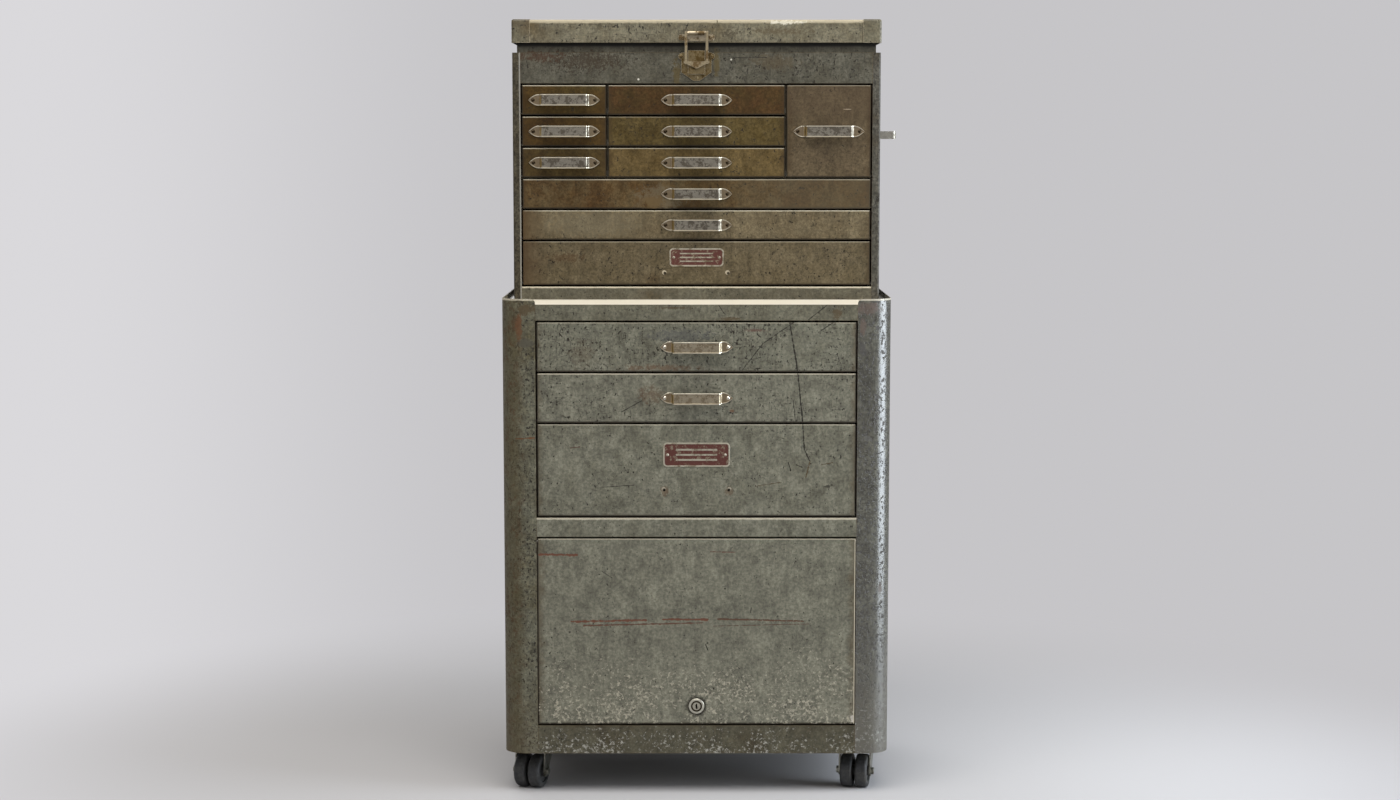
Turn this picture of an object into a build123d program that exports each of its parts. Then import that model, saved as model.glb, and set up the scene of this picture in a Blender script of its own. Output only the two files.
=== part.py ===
from build123d import *
import os

# A machinist tool chest: a drawered top chest standing on a roller cabinet.
# Millimetres. Pieces are built with x across (0 on the middle plane), y from
# the cabinet's front face (0) to the back, and z up from the floor (0).
# write_parts moves them so that the origin is the middle of the footprint.

# ---- Roller cabinet, from the floor up ----
CABINET_WIDTH = 686.0
CABINET_DEPTH = 457.0
CABINET_CORNER_R = 38.0  # round front corner posts
CABINET_BACK_R = 5.0
CABINET_SHEET = 1.2
STILE_WIDTH = 60.0  # front face of each corner post
STILE_RETURN = 20.0  # flange turned in along the opening
BACK_FLANGE = 26.0
RIM_HEIGHT = 10.0  # sides and back stand this far above the top pan
RIM_CORNER_R = 8.0
RAIL_RETURN = 15.0
FRONT_GAP = 3.3  # between neighbouring fronts and rails
SIDE_GAP = 2.7  # between a front and the post beside it
BASE_RAIL_HEIGHT = 51.0
BASE_LIP = 6.0  # the base rail hangs this far below the floor sheet
DOOR_HEIGHT = 334.0
MIDDLE_RAIL_HEIGHT = 34.0
DEEP_DRAWER_HEIGHT = 163.0
CABINET_DRAWER_HEIGHT = 86.5
TOP_RAIL_HEIGHT = 28.0
PAN_SKIRT = 14.0
CABINET_DRAWER_LENGTH = 420.0

# ---- Top chest ----
CHEST_WIDTH = 660.0
CHEST_DEPTH = 305.0
CHEST_CORNER_R = 4.0
CHEST_SHEET = 1.0
CHEST_FLANGE = 14.5  # face of each side beside the drawers
CHEST_RAIL_HEIGHT = 23.5
CHEST_DEEP_HEIGHT = 78.0
CHEST_ROW_HEIGHT = 52.5
CHEST_RAIL_RETURN = 10.0
PARTITION_X = 160.2
TILL_FRONT_HEIGHT = 54.5
NECK_HEIGHT = 15.0  # recessed band between the till front and the lid
NECK_INSET = 8.5
NECK_UNDER_LID = 11.5
LID_GAP = 2.6
LID_HEIGHT = 40.5
LID_EDGE_R = 3.0
CAP_WIDTH = 32.0  # metal corners of the lid
CAP_SHEET = 0.8
CAP_TO_HINGE = 3.0  # the rear corners are cut back this far from the hinge leaf
CHEST_DRAWER_LENGTH = 283.0
CHEST_BACK_GAP = 1.5  # between the chest and the rim along the cabinet's back

# ---- Drawers and runners ----
DRAWER_SHEET = 1.0
FRONT_RETURN = 10.0
BOX_INSET = 6.0  # drawer box narrower than its front, each side
BOX_LIFT = 3.0
BOX_DROP = 9.0
RUN_CLEARANCE = 0.2
RUNNER_GRIP = 7.0  # how far a runner reaches under the box
RUNNER_WEB = 9.0
RUNNER_FORWARD = 12.0  # cabinet runners lap over the post flange by this much

# ---- Pulls and screws ----
PULL_SPACING = 114.3
PULL_TIP = 6.85  # a foot's tip lies this far past its screw
PULL_SHOULDER = 14.15  # the raised strap ends this far inside each screw
PULL_HEIGHT = 20.0
PULL_REACH = 22.0
PULL_SHEET = 1.8
PULL_BEND_R = 5.0
OGIVE_ALONG = 0.55  # where a pointed foot's arc passes, as shares of the foot's
OGIVE_ACROSS = 0.74  # length and half height
HEAD_ROUNDING = 0.7  # rounding of screw, rivet and bezel rims, as a share of their height
SCREW_R = 2.0
SCREW_HEAD_R = 3.4
SCREW_HEAD_HEIGHT = 1.8
SCREW_LENGTH = 9.0
SCREW_HOLE_R = 2.25
HANDLE_SPACING = 120.0
HANDLE_TIP = 8.0
HANDLE_SHOULDER = 14.0
HANDLE_HEIGHT = 14.0
HANDLE_REACH = 36.0
HANDLE_SHEET = 3.0
HANDLE_BEND_R = 6.0
HANDLE_FROM_SHOULDER = 146.0

# ---- Door and lock ----
DOOR_RETURN = 15.0
DOOR_SIDE_GAP = 1.4
ROD_R = 2.5
ROD_FROM_EDGE = 5.0  # rod axis from the door's face and from its top edge
ROD_OVERHANG = 5.0
LOCK_FROM_FOOT = 32.0
LOCK_BEZEL_R = 14.0
LOCK_BEZEL_HEIGHT = 2.5
LOCK_BARREL_R = 9.5
LOCK_BARREL_LENGTH = 18.0
LOCK_NUT_R = 14.0
LOCK_NUT_HEIGHT = 4.0
PLUG_R = 7.0
PLUG_PROUD = 1.5
KEYWAY_WIDTH = 1.8
KEYWAY_HEIGHT = 8.0
KEYWAY_DEPTH = 8.0
CAM_WIDTH = 14.0
CAM_SHEET = 2.0
CAM_BITE = 8.0

# ---- Lid hinge ----
KNUCKLE_R = 3.0
HINGE_PIN_R = 1.5
HINGE_LENGTH = 576.0
HINGE_KNUCKLES = 12
HINGE_LEAF = 15.0
HINGE_SHEET = 1.0

# ---- Latch ----
LATCH_SHEET = 1.5
LATCH_EAR_SPACING = 54.0
LATCH_EAR_R = 5.5
LATCH_EAR_MARGIN = 1.0  # ear to the plate's nearest edge
LATCH_RIVET_R = 2.8
LATCH_RIVET_HEIGHT = 1.4
LID_PLATE_WIDTH = 42.0
LID_PLATE_HEIGHT = 18.0
LID_PLATE_FOOT = 2.5  # above the lid's lower edge
LATCH_PIN_R = 2.0
LATCH_PIN_STANDOFF = 7.0  # pin axis in front of the chest's face
LATCH_CURL_SHEET = 1.5
LATCH_CURL_LENGTH = 29.0
HASP_WIDTH = 42.0
HASP_BAR = 4.6
HASP_SHEET = 2.6
HASP_DROP = 55.0  # pin axis to the lower edge of the crossbar
HASP_LIP = 8.5  # thumb point below the crossbar
HASP_LIP_OVERHANG = 2.0  # the lip is wider than the loop, each side
BASE_PLATE_WIDTH = 54.0
BASE_PLATE_HEIGHT = 50.0
BASE_PLATE_TAPER = 15.0  # height over which the shield narrows to its foot
KEEPER_WIDTH = 30.0
KEEPER_HEIGHT = 42.0
KEEPER_ABOVE_SHOULDER = 3.5

# ---- Casters ----
CASTER_HEIGHT = 80.0
CASTER_X = 292.0
CASTER_FROM_EDGE = 78.0
CASTER_TRAIL = 22.0
CASTER_TURNS = {"front_left": 18.0, "front_right": 12.0, "rear_left": -14.0, "rear_right": 24.0}
WHEEL_R = 30.0
WHEEL_WIDTH = 22.0
WHEEL_GAP = 5.0
TYRE_R = 5.0
WHEEL_DISH_R = 21.0
WHEEL_DISH_DEPTH = 4.0
HUB_R = 9.0
AXLE_R = 4.0
AXLE_CLEARANCE = 0.1
FORK_SHEET = 2.5
FORK_CLEARANCE = 2.0
FORK_FOOT_R = 10.0
FORK_TOP_HALF = 16.0
NUT_R = 6.5
NUT_HEIGHT = 5.0
PLATE_SIZE = 62.0
PLATE_SHEET = 2.5
PLATE_BOLT_SPACING = 45.0
PLATE_BOLT_R = 3.0
PLATE_BOLT_HEAD_R = 5.0
PLATE_BOLT_HEAD_HEIGHT = 2.6
PLATE_NUT_R = 6.0
RACE_R = 21.0
RACE_HEIGHT = 5.0
KINGPIN_R = 4.5
KINGPIN_HEAD_R = 8.0
KINGPIN_HEAD_HEIGHT = 2.5
SWIVEL_CLEARANCE = 0.3

# ---- Clearances ----
FIT = 0.1  # between fixed pieces that lie along each other
SMALLEST_R = 0.3  # inner corners never get sharper than this
PIVOT_CLEARANCE = 0.1  # radial, hinge pins and the lock plug

# ---- Heights worked out from the stack ----
BASE_Z = CASTER_HEIGHT - BASE_LIP
BASE_RAIL_TOP = BASE_Z + BASE_RAIL_HEIGHT
DOOR_Z = BASE_RAIL_TOP + FRONT_GAP
DOOR_TOP = DOOR_Z + DOOR_HEIGHT
MIDDLE_RAIL_Z = DOOR_TOP + FRONT_GAP
DEEP_DRAWER_Z = MIDDLE_RAIL_Z + MIDDLE_RAIL_HEIGHT + FRONT_GAP
MIDDLE_DRAWER_Z = DEEP_DRAWER_Z + DEEP_DRAWER_HEIGHT + FRONT_GAP
UPPER_DRAWER_Z = MIDDLE_DRAWER_Z + CABINET_DRAWER_HEIGHT + FRONT_GAP
TOP_RAIL_Z = UPPER_DRAWER_Z + CABINET_DRAWER_HEIGHT + FRONT_GAP
PAN_Z = TOP_RAIL_Z + TOP_RAIL_HEIGHT
RIM_Z = PAN_Z + RIM_HEIGHT

CHEST_RAIL_TOP = PAN_Z + CHEST_RAIL_HEIGHT
CHEST_DEEP_Z = CHEST_RAIL_TOP + FRONT_GAP
CHEST_ROW_PITCH = CHEST_ROW_HEIGHT + FRONT_GAP
CHEST_ROWS = 5
CHEST_TOP_ROW_Z = CHEST_DEEP_Z + CHEST_DEEP_HEIGHT + FRONT_GAP + (CHEST_ROWS - 1) * CHEST_ROW_PITCH
TILL_Z = CHEST_TOP_ROW_Z + CHEST_ROW_PITCH
SHOULDER_Z = TILL_Z + TILL_FRONT_HEIGHT
LID_Z = SHOULDER_Z + NECK_HEIGHT + LID_GAP
LID_TOP = LID_Z + LID_HEIGHT
NECK_TOP = LID_Z + NECK_UNDER_LID

# ---- Planes worked out from the plan ----
CABINET_HALF = CABINET_WIDTH / 2
OPENING_HALF = CABINET_HALF - STILE_WIDTH
CABINET_INNER_BACK = CABINET_DEPTH - 2 * CABINET_SHEET
CHEST_HALF = CHEST_WIDTH / 2
CHEST_BACK = CABINET_INNER_BACK - CHEST_BACK_GAP
CHEST_FRONT = CHEST_BACK - CHEST_DEPTH
CHEST_OPENING_HALF = CHEST_HALF - CHEST_FLANGE
CHEST_FRONT_HALF = CHEST_OPENING_HALF - SIDE_GAP
CHEST_INNER_HALF = CHEST_HALF - CHEST_SHEET
CHEST_INNER_BACK = CHEST_BACK - 2 * CHEST_SHEET
HINGE_Y = CHEST_BACK + KNUCKLE_R
HINGE_Z = LID_Z - LID_GAP / 2
LATCH_PIN_Y = CHEST_FRONT - LATCH_PIN_STANDOFF
LATCH_PIN_Z = LID_Z + LID_PLATE_FOOT + LID_PLATE_HEIGHT - LATCH_PIN_R - LATCH_CURL_SHEET
ROD_Z = DOOR_TOP - ROD_FROM_EDGE
LOCK_Z = DOOR_Z + LOCK_FROM_FOOT
AXLE_Z = WHEEL_R
HANDLE_Y = CHEST_FRONT + CHEST_DEPTH / 2
HANDLE_Z = SHOULDER_Z - HANDLE_FROM_SHOULDER
PULL_LENGTH = PULL_SPACING + 2 * PULL_TIP
PULL_STRAP = PULL_SPACING - 2 * PULL_SHOULDER
HANDLE_LENGTH = HANDLE_SPACING + 2 * HANDLE_TIP
HANDLE_STRAP = HANDLE_SPACING - 2 * HANDLE_SHOULDER


def row_z(row):
    """Lower edge of a chest row, counted from 1 at the top."""
    return CHEST_TOP_ROW_Z - (row - 1) * CHEST_ROW_PITCH


def drawer_column(label, x0, x1):
    """The three small drawers of one column: name, edges of the front, its foot and top."""
    names = ("upper", "middle", "lower")
    return [(f"chest_drawer_{label}_{word}", x0, x1, row_z(row), row_z(row) + CHEST_ROW_HEIGHT)
            for row, word in enumerate(names, start=1)]


def wide_drawer(word, foot, height):
    """A drawer across the whole opening of the chest."""
    return (f"chest_drawer_{word}", -CHEST_FRONT_HALF, CHEST_FRONT_HALF, foot, foot + height)


SMALL_INNER = PARTITION_X + FRONT_GAP / 2
MIDDLE_HALF = PARTITION_X - FRONT_GAP / 2
TALL_TOP = row_z(1) + CHEST_ROW_HEIGHT
CHEST_DRAWERS = [
    *drawer_column("left", -CHEST_FRONT_HALF, -SMALL_INNER),
    *drawer_column("centre", -MIDDLE_HALF, MIDDLE_HALF),
    ("chest_drawer_tall", SMALL_INNER, CHEST_FRONT_HALF, row_z(3), TALL_TOP),
    wide_drawer("wide_upper", row_z(4), CHEST_ROW_HEIGHT),
    wide_drawer("wide_lower", row_z(5), CHEST_ROW_HEIGHT),
    wide_drawer("deep", CHEST_DEEP_Z, CHEST_DEEP_HEIGHT),
]
CABINET_FRONT_HALF = OPENING_HALF - SIDE_GAP
CABINET_DRAWERS = [
    (f"cabinet_drawer_{word}", -CABINET_FRONT_HALF, CABINET_FRONT_HALF, foot, foot + height)
    for word, foot, height in (
        ("upper", UPPER_DRAWER_Z, CABINET_DRAWER_HEIGHT),
        ("middle", MIDDLE_DRAWER_Z, CABINET_DRAWER_HEIGHT),
        ("deep", DEEP_DRAWER_Z, DEEP_DRAWER_HEIGHT),
    )
]
DRAWERS_WITHOUT_PULL = ["chest_drawer_deep", "cabinet_drawer_deep"]
BARE_HOLES_FROM_FOOT = {"chest_drawer_deep": 21.0, "cabinet_drawer_deep": 46.5}


def block(x0, x1, y0, y1, z0, z1):
    """A box between two opposite corners."""
    centre = Pos((x0 + x1) / 2, (y0 + y1) / 2, (z0 + z1) / 2)
    return centre * Box(x1 - x0, y1 - y0, z1 - z0)


def rod_x(x0, x1, y, z, radius):
    """A round bar along x."""
    return Pos((x0 + x1) / 2, y, z) * Rot(0, 90, 0) * Cylinder(radius, x1 - x0)


def rod_y(y0, y1, x, z, radius):
    """A round bar along y."""
    return Pos(x, (y0 + y1) / 2, z) * Rot(90, 0, 0) * Cylinder(radius, y1 - y0)


def rod_z(z0, z1, x, y, radius):
    """A round bar along z."""
    return Pos(x, y, (z0 + z1) / 2) * Cylinder(radius, z1 - z0)


def hexagon_y(y0, y1, x, z, radius):
    """A hexagonal nut with its axis along y."""
    return Pos(x, y1, z) * Rot(90, 0, 0) * extrude(RegularPolygon(radius, 6), y1 - y0)


def mirrored(shape):
    """The same piece on the other side of the middle plane."""
    return mirror(shape, about=Plane.YZ)


def rounded_plan(half_width, front, back, front_r, back_r, inset):
    """Plan face of a shell with round front and back corners, moved in by inset."""
    width = 2 * (half_width - inset)
    depth = back - front - 2 * inset
    plan = Pos(0, (front + back) / 2) * Rectangle(width, depth)
    plan = fillet(plan.vertices().sort_by(Axis.Y)[:2], max(front_r - inset, SMALLEST_R))
    return fillet(plan.vertices().sort_by(Axis.Y)[-2:], max(back_r - inset, SMALLEST_R))


def cabinet_plan(inset):
    return rounded_plan(CABINET_HALF, 0, CABINET_DEPTH, CABINET_CORNER_R, CABINET_BACK_R, inset)


def chest_plan(inset, back=CHEST_BACK):
    return rounded_plan(CHEST_HALF, CHEST_FRONT, back, CHEST_CORNER_R, CHEST_CORNER_R, inset)


def prism(face, z0, z1):
    """A plan face raised from z0 to z1."""
    return Pos(0, 0, z0) * extrude(face, z1 - z0)


# ---------------------------------------------------------------- cabinet


def cabinet_side_left():
    """One sheet: front post face, round corner, side and back flange, with a rolled-in return."""
    wall = prism(cabinet_plan(0) - cabinet_plan(CABINET_SHEET), BASE_Z, RIM_Z)
    post = block(-CABINET_HALF, -OPENING_HALF, 0, CABINET_DEPTH / 2, BASE_Z, RIM_Z)
    flange_x = -CABINET_HALF + BACK_FLANGE
    rear = block(-CABINET_HALF, flange_x, CABINET_DEPTH / 2, CABINET_DEPTH, BASE_Z, RIM_Z)
    side = wall & (post + rear)
    top_corner = [edge for edge in side.edges().filter_by(Axis.Y)
                  if abs(edge.center().X + OPENING_HALF) < FIT and edge.center().Z > PAN_Z]
    side = fillet(top_corner, RIM_CORNER_R)
    edge_x = -OPENING_HALF
    side += block(edge_x - CABINET_SHEET, edge_x, 0, STILE_RETURN, BASE_Z, PAN_Z - CABINET_SHEET)
    hole = rod_x(edge_x - 2 * CABINET_SHEET, edge_x + CABINET_SHEET, ROD_FROM_EDGE, ROD_Z, ROD_R + FIT)
    return side - hole


def inside_cabinet(shape):
    """Keeps a level sheet clear of the return flanges of both posts and of the back."""
    for sign in (-1, 1):
        flange = block(OPENING_HALF - FIT, OPENING_HALF + CABINET_SHEET + FIT, 0, STILE_RETURN + FIT,
                       0, LID_TOP)
        shape -= flange if sign > 0 else mirrored(flange)
    return shape & block(-CABINET_HALF, CABINET_HALF, 0, CABINET_INNER_BACK, 0, LID_TOP)


def cabinet_back_panel():
    half = CABINET_HALF - CABINET_BACK_R - CABINET_SHEET
    return block(-half, half, CABINET_INNER_BACK, CABINET_INNER_BACK + CABINET_SHEET, BASE_Z, RIM_Z)


def cabinet_top_pan():
    """The level top with a skirt turned down inside the sides."""
    inset = CABINET_SHEET + FIT
    pan = prism(cabinet_plan(inset), PAN_Z - CABINET_SHEET, PAN_Z)
    pan &= block(-CABINET_HALF, CABINET_HALF, 0, CABINET_INNER_BACK, 0, LID_TOP)
    ring = cabinet_plan(inset) - cabinet_plan(inset + CABINET_SHEET)
    skirt = prism(ring, PAN_Z - PAN_SKIRT, PAN_Z)
    skirt &= block(-CABINET_HALF, CABINET_HALF, CABINET_CORNER_R, CABINET_INNER_BACK - CABINET_BACK_R,
                   0, LID_TOP)
    return pan + skirt


def front_channel(z0, z1, upper_flange_z):
    """A rail between the posts: a face with a flange turned in above and below."""
    face = block(-OPENING_HALF, OPENING_HALF, 0, CABINET_SHEET, z0, z1)
    lower = block(-OPENING_HALF, OPENING_HALF, 0, RAIL_RETURN, z0, z0 + CABINET_SHEET)
    upper = block(-OPENING_HALF, OPENING_HALF, 0, RAIL_RETURN,
                  upper_flange_z, upper_flange_z + CABINET_SHEET)
    return face + lower + upper


def cabinet_top_rail():
    """Closes the front edge of the pan; its upper flange lies under the pan."""
    return front_channel(TOP_RAIL_Z, PAN_Z, PAN_Z - 2 * CABINET_SHEET)


def level_sheet(z):
    """A sheet across the whole inside of the cabinet, joined to a rail's flange."""
    sheet = prism(cabinet_plan(CABINET_SHEET + FIT), z, z + CABINET_SHEET)
    return inside_cabinet(sheet)


def cabinet_middle_rail():
    """The fixed rail above the door, in one with the shelf under the deep drawer."""
    upper = MIDDLE_RAIL_Z + MIDDLE_RAIL_HEIGHT - CABINET_SHEET
    return front_channel(MIDDLE_RAIL_Z, upper + CABINET_SHEET, upper) + level_sheet(MIDDLE_RAIL_Z)


def caster_places():
    """Name, swivel x, swivel y and turn of each caster."""
    for name, turn in CASTER_TURNS.items():
        x = -CASTER_X if "left" in name else CASTER_X
        y = CASTER_FROM_EDGE if "front" in name else CABINET_DEPTH - CASTER_FROM_EDGE
        yield name, x, y, turn


def plate_bolt_places():
    """Centres of the four mounting bolts of every caster plate."""
    half = PLATE_BOLT_SPACING / 2
    for _, x, y, _ in caster_places():
        for sx in (-half, half):
            for sy in (-half, half):
                yield x + sx, y + sy


def cabinet_base_pan():
    """Base rail and floor sheet, drilled for the caster bolts."""
    top = BASE_RAIL_TOP - CABINET_SHEET
    face = block(-OPENING_HALF, OPENING_HALF, 0, CABINET_SHEET, BASE_Z, BASE_RAIL_TOP)
    upper = block(-OPENING_HALF, OPENING_HALF, 0, RAIL_RETURN, top, BASE_RAIL_TOP)
    pan = face + upper + level_sheet(CASTER_HEIGHT)
    for x, y in plate_bolt_places():
        pan -= rod_z(CASTER_HEIGHT - CABINET_SHEET, CASTER_HEIGHT + 2 * CABINET_SHEET, x, y,
                     PLATE_BOLT_R + FIT)
    return pan


def runner(wall, box_edge, z, web_y, leg_y, back, sheet):
    """An angle along a wall: a leg reaching under the drawer box and a web against the wall."""
    inward = 1 if box_edge > wall else -1
    leg_end = box_edge + inward * RUNNER_GRIP
    web_end = wall + inward * sheet
    leg = block(min(wall, leg_end), max(wall, leg_end), leg_y, back, z - sheet, z)
    web = block(min(wall, web_end), max(wall, web_end), web_y, back, z - sheet, z + RUNNER_WEB)
    return leg + web


def drawer_box_edges(x0, x1):
    """Outer faces of a drawer's box, set in from the edges of its front."""
    return x0 + BOX_INSET, x1 - BOX_INSET


def cabinet_drawer_runners():
    """One pair of angles for each cabinet drawer, lapped on the post flanges."""
    wall = OPENING_HALF + 2 * CABINET_SHEET
    runners = []
    for _, x0, x1, z0, _ in CABINET_DRAWERS:
        left, right = drawer_box_edges(x0, x1)
        z = z0 + BOX_LIFT - RUN_CLEARANCE
        web_y = STILE_RETURN - RUNNER_FORWARD
        for side_wall, edge in ((-wall, left), (wall, right)):
            runners.append(runner(side_wall, edge, z, web_y, STILE_RETURN + FIT,
                                  CABINET_INNER_BACK, CABINET_SHEET))
    return Compound(runners)


def caster_plates():
    """Four mounting plates with their swivel races, kingpins and bolts."""
    pieces = []
    for _, x, y, _ in caster_places():
        plate_z = CASTER_HEIGHT - PLATE_SHEET
        race_z = plate_z - RACE_HEIGHT
        half = PLATE_SIZE / 2
        plate = block(x - half, x + half, y - half, y + half, plate_z, CASTER_HEIGHT)
        fork_z = race_z - SWIVEL_CLEARANCE - FORK_SHEET
        head_z = fork_z - SWIVEL_CLEARANCE
        plate += rod_z(race_z, plate_z, x, y, RACE_R)
        plate += rod_z(head_z, race_z, x, y, KINGPIN_R)
        plate += rod_z(head_z - KINGPIN_HEAD_HEIGHT, head_z, x, y, KINGPIN_HEAD_R)
        bolt_top = CASTER_HEIGHT + CABINET_SHEET + 2 * PLATE_BOLT_HEAD_HEIGHT
        for bx, by in plate_bolt_places():
            if abs(bx - x) < half and abs(by - y) < half:
                plate -= rod_z(plate_z, CASTER_HEIGHT, bx, by, PLATE_BOLT_R + FIT)
                bolt = rod_z(plate_z - PLATE_BOLT_HEAD_HEIGHT, plate_z, bx, by, PLATE_BOLT_HEAD_R)
                bolt += rod_z(plate_z, bolt_top, bx, by, PLATE_BOLT_R)
                nut_z = CASTER_HEIGHT + CABINET_SHEET
                bolt += Pos(bx, by, nut_z) * extrude(RegularPolygon(PLATE_NUT_R, 6),
                                                     PLATE_BOLT_HEAD_HEIGHT)
                pieces.append(bolt)
        pieces.append(plate)
    return Compound(pieces)


# ---------------------------------------------------------------- casters


FORK_INNER = WHEEL_WIDTH + WHEEL_GAP / 2 + FORK_CLEARANCE
FORK_TOP_Z = CASTER_HEIGHT - PLATE_SHEET - RACE_HEIGHT - SWIVEL_CLEARANCE


def caster_frame(x, y, turn):
    """Places a caster built about its swivel axis, wheels trailing towards the front."""
    return Pos(x, y, 0) * Rot(0, 0, -turn)


def caster_fork():
    """Folded yoke round both wheels, with the axle bolt and its two nuts."""
    leg = make_face(Polyline((FORK_TOP_HALF, FORK_TOP_Z), (-FORK_TOP_HALF - FORK_FOOT_R, FORK_TOP_Z),
                             (-CASTER_TRAIL - FORK_FOOT_R, AXLE_Z), (-CASTER_TRAIL + FORK_FOOT_R, AXLE_Z),
                             (FORK_TOP_HALF, FORK_TOP_Z)))
    leg += Pos(-CASTER_TRAIL, AXLE_Z) * Circle(FORK_FOOT_R)
    leg = extrude(Plane.YZ * leg, FORK_SHEET)
    outer = FORK_INNER + FORK_SHEET
    fork = Pos(FORK_INNER, 0, 0) * leg + Pos(-outer, 0, 0) * leg
    fork += block(-outer, outer, -FORK_TOP_HALF, FORK_TOP_HALF, FORK_TOP_Z - FORK_SHEET, FORK_TOP_Z)
    fork -= rod_z(FORK_TOP_Z - 2 * FORK_SHEET, FORK_TOP_Z + FORK_SHEET, 0, 0, KINGPIN_R + SWIVEL_CLEARANCE)
    fork -= rod_x(-2 * outer, 2 * outer, -CASTER_TRAIL, AXLE_Z, AXLE_R + FIT)
    nut = Rot(0, 90, 0) * extrude(RegularPolygon(NUT_R, 6), NUT_HEIGHT)
    axle = rod_x(-outer - NUT_HEIGHT, outer + NUT_HEIGHT, -CASTER_TRAIL, AXLE_Z, AXLE_R)
    axle += Pos(outer, -CASTER_TRAIL, AXLE_Z) * nut
    axle += Pos(-outer - NUT_HEIGHT, -CASTER_TRAIL, AXLE_Z) * nut
    return Compound([fork, axle])


def caster_wheels():
    """Two wheels side by side on one axle: round-shouldered tyre, dished web and hub."""
    wheel = Cylinder(WHEEL_R, WHEEL_WIDTH)
    wheel = fillet(wheel.edges().filter_by(GeomType.CIRCLE), TYRE_R)
    dish = Cylinder(WHEEL_DISH_R, WHEEL_DISH_DEPTH) - Cylinder(HUB_R, WHEEL_DISH_DEPTH)
    face = WHEEL_WIDTH / 2
    for side in (-1, 1):
        wheel -= Pos(0, 0, side * (face - WHEEL_DISH_DEPTH / 2)) * dish
    outer_boss = FORK_CLEARANCE - SWIVEL_CLEARANCE
    inner_boss = WHEEL_GAP / 2 - SWIVEL_CLEARANCE
    wheel += Pos(0, 0, face + outer_boss / 2) * Cylinder(HUB_R, outer_boss)
    wheel += Pos(0, 0, -face - inner_boss / 2) * Cylinder(HUB_R, inner_boss)
    wheel -= Cylinder(AXLE_R + AXLE_CLEARANCE, 2 * WHEEL_WIDTH)
    centre = WHEEL_GAP / 2 + face
    right = Pos(centre, -CASTER_TRAIL, AXLE_Z) * Rot(0, 90, 0) * wheel
    left = Pos(-centre, -CASTER_TRAIL, AXLE_Z) * Rot(0, -90, 0) * wheel
    return Compound([right, left])


# ---------------------------------------------------------------- door and lock


def door_panel():
    """A shallow pan: face with flanges turned in all round, hung on the rod at its top."""
    half = OPENING_HALF - DOOR_SIDE_GAP
    inner = half - CABINET_SHEET
    door = block(-half, half, 0, DOOR_RETURN, DOOR_Z, DOOR_TOP)
    door -= block(-inner, inner, CABINET_SHEET, 2 * DOOR_RETURN,
                  DOOR_Z + CABINET_SHEET, DOOR_TOP - CABINET_SHEET)
    door -= rod_x(-OPENING_HALF, OPENING_HALF, ROD_FROM_EDGE, ROD_Z, ROD_R + PIVOT_CLEARANCE)
    return door - rod_y(-CABINET_SHEET, 2 * CABINET_SHEET, 0, LOCK_Z, LOCK_BARREL_R + FIT)


def door_hinge_rod():
    half = OPENING_HALF + CABINET_SHEET + ROD_OVERHANG
    return rod_x(-half, half, ROD_FROM_EDGE, ROD_Z, ROD_R)


def lock_body():
    """Bezel ring and barrel through the door, held by a nut behind the sheet."""
    bezel = rod_y(-LOCK_BEZEL_HEIGHT, 0, 0, LOCK_Z, LOCK_BEZEL_R)
    front_edge = bezel.edges().filter_by(GeomType.CIRCLE).sort_by(Axis.Y)[:1]
    bezel = fillet(front_edge, LOCK_BEZEL_HEIGHT * HEAD_ROUNDING)
    body = bezel + rod_y(0, LOCK_BARREL_LENGTH, 0, LOCK_Z, LOCK_BARREL_R)
    body -= rod_y(-2 * LOCK_BEZEL_HEIGHT, 2 * LOCK_BARREL_LENGTH, 0, LOCK_Z, PLUG_R + PIVOT_CLEARANCE)
    nut = hexagon_y(CABINET_SHEET, CABINET_SHEET + LOCK_NUT_HEIGHT, 0, LOCK_Z, LOCK_NUT_R)
    nut -= rod_y(0, 2 * LOCK_NUT_HEIGHT, 0, LOCK_Z, LOCK_BARREL_R + FIT)
    return Compound([body, nut])


def lock_plug():
    """Turning plug with a keyway, and the cam on its inner end lying level when unlocked."""
    end = LOCK_BARREL_LENGTH + CAM_SHEET
    plug = rod_y(-LOCK_BEZEL_HEIGHT + PLUG_PROUD / 2, end, 0, LOCK_Z, PLUG_R)
    half_w = KEYWAY_WIDTH / 2
    half_h = KEYWAY_HEIGHT / 2
    plug -= block(-half_w, half_w, -LOCK_BEZEL_HEIGHT, KEYWAY_DEPTH, LOCK_Z - half_h, LOCK_Z + half_h)
    reach = LOCK_Z - BASE_RAIL_TOP + CAM_BITE
    cam_y = LOCK_BARREL_LENGTH + PIVOT_CLEARANCE
    cam = block(0, reach, cam_y, cam_y + CAM_SHEET, LOCK_Z - CAM_WIDTH / 2, LOCK_Z + CAM_WIDTH / 2)
    cam += rod_y(cam_y, cam_y + CAM_SHEET, 0, LOCK_Z, CAM_WIDTH / 2)
    return plug + cam


# ---------------------------------------------------------------- drawers and pulls


def pull_hole_places(name, x0, x1, z0, z1):
    """Screw centres of a drawer's pull, or of the bare holes left by a lost one."""
    z = z0 + BARE_HOLES_FROM_FOOT[name] if name in DRAWERS_WITHOUT_PULL else (z0 + z1) / 2
    centre = (x0 + x1) / 2
    return [(centre - PULL_SPACING / 2, z), (centre + PULL_SPACING / 2, z)]


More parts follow.
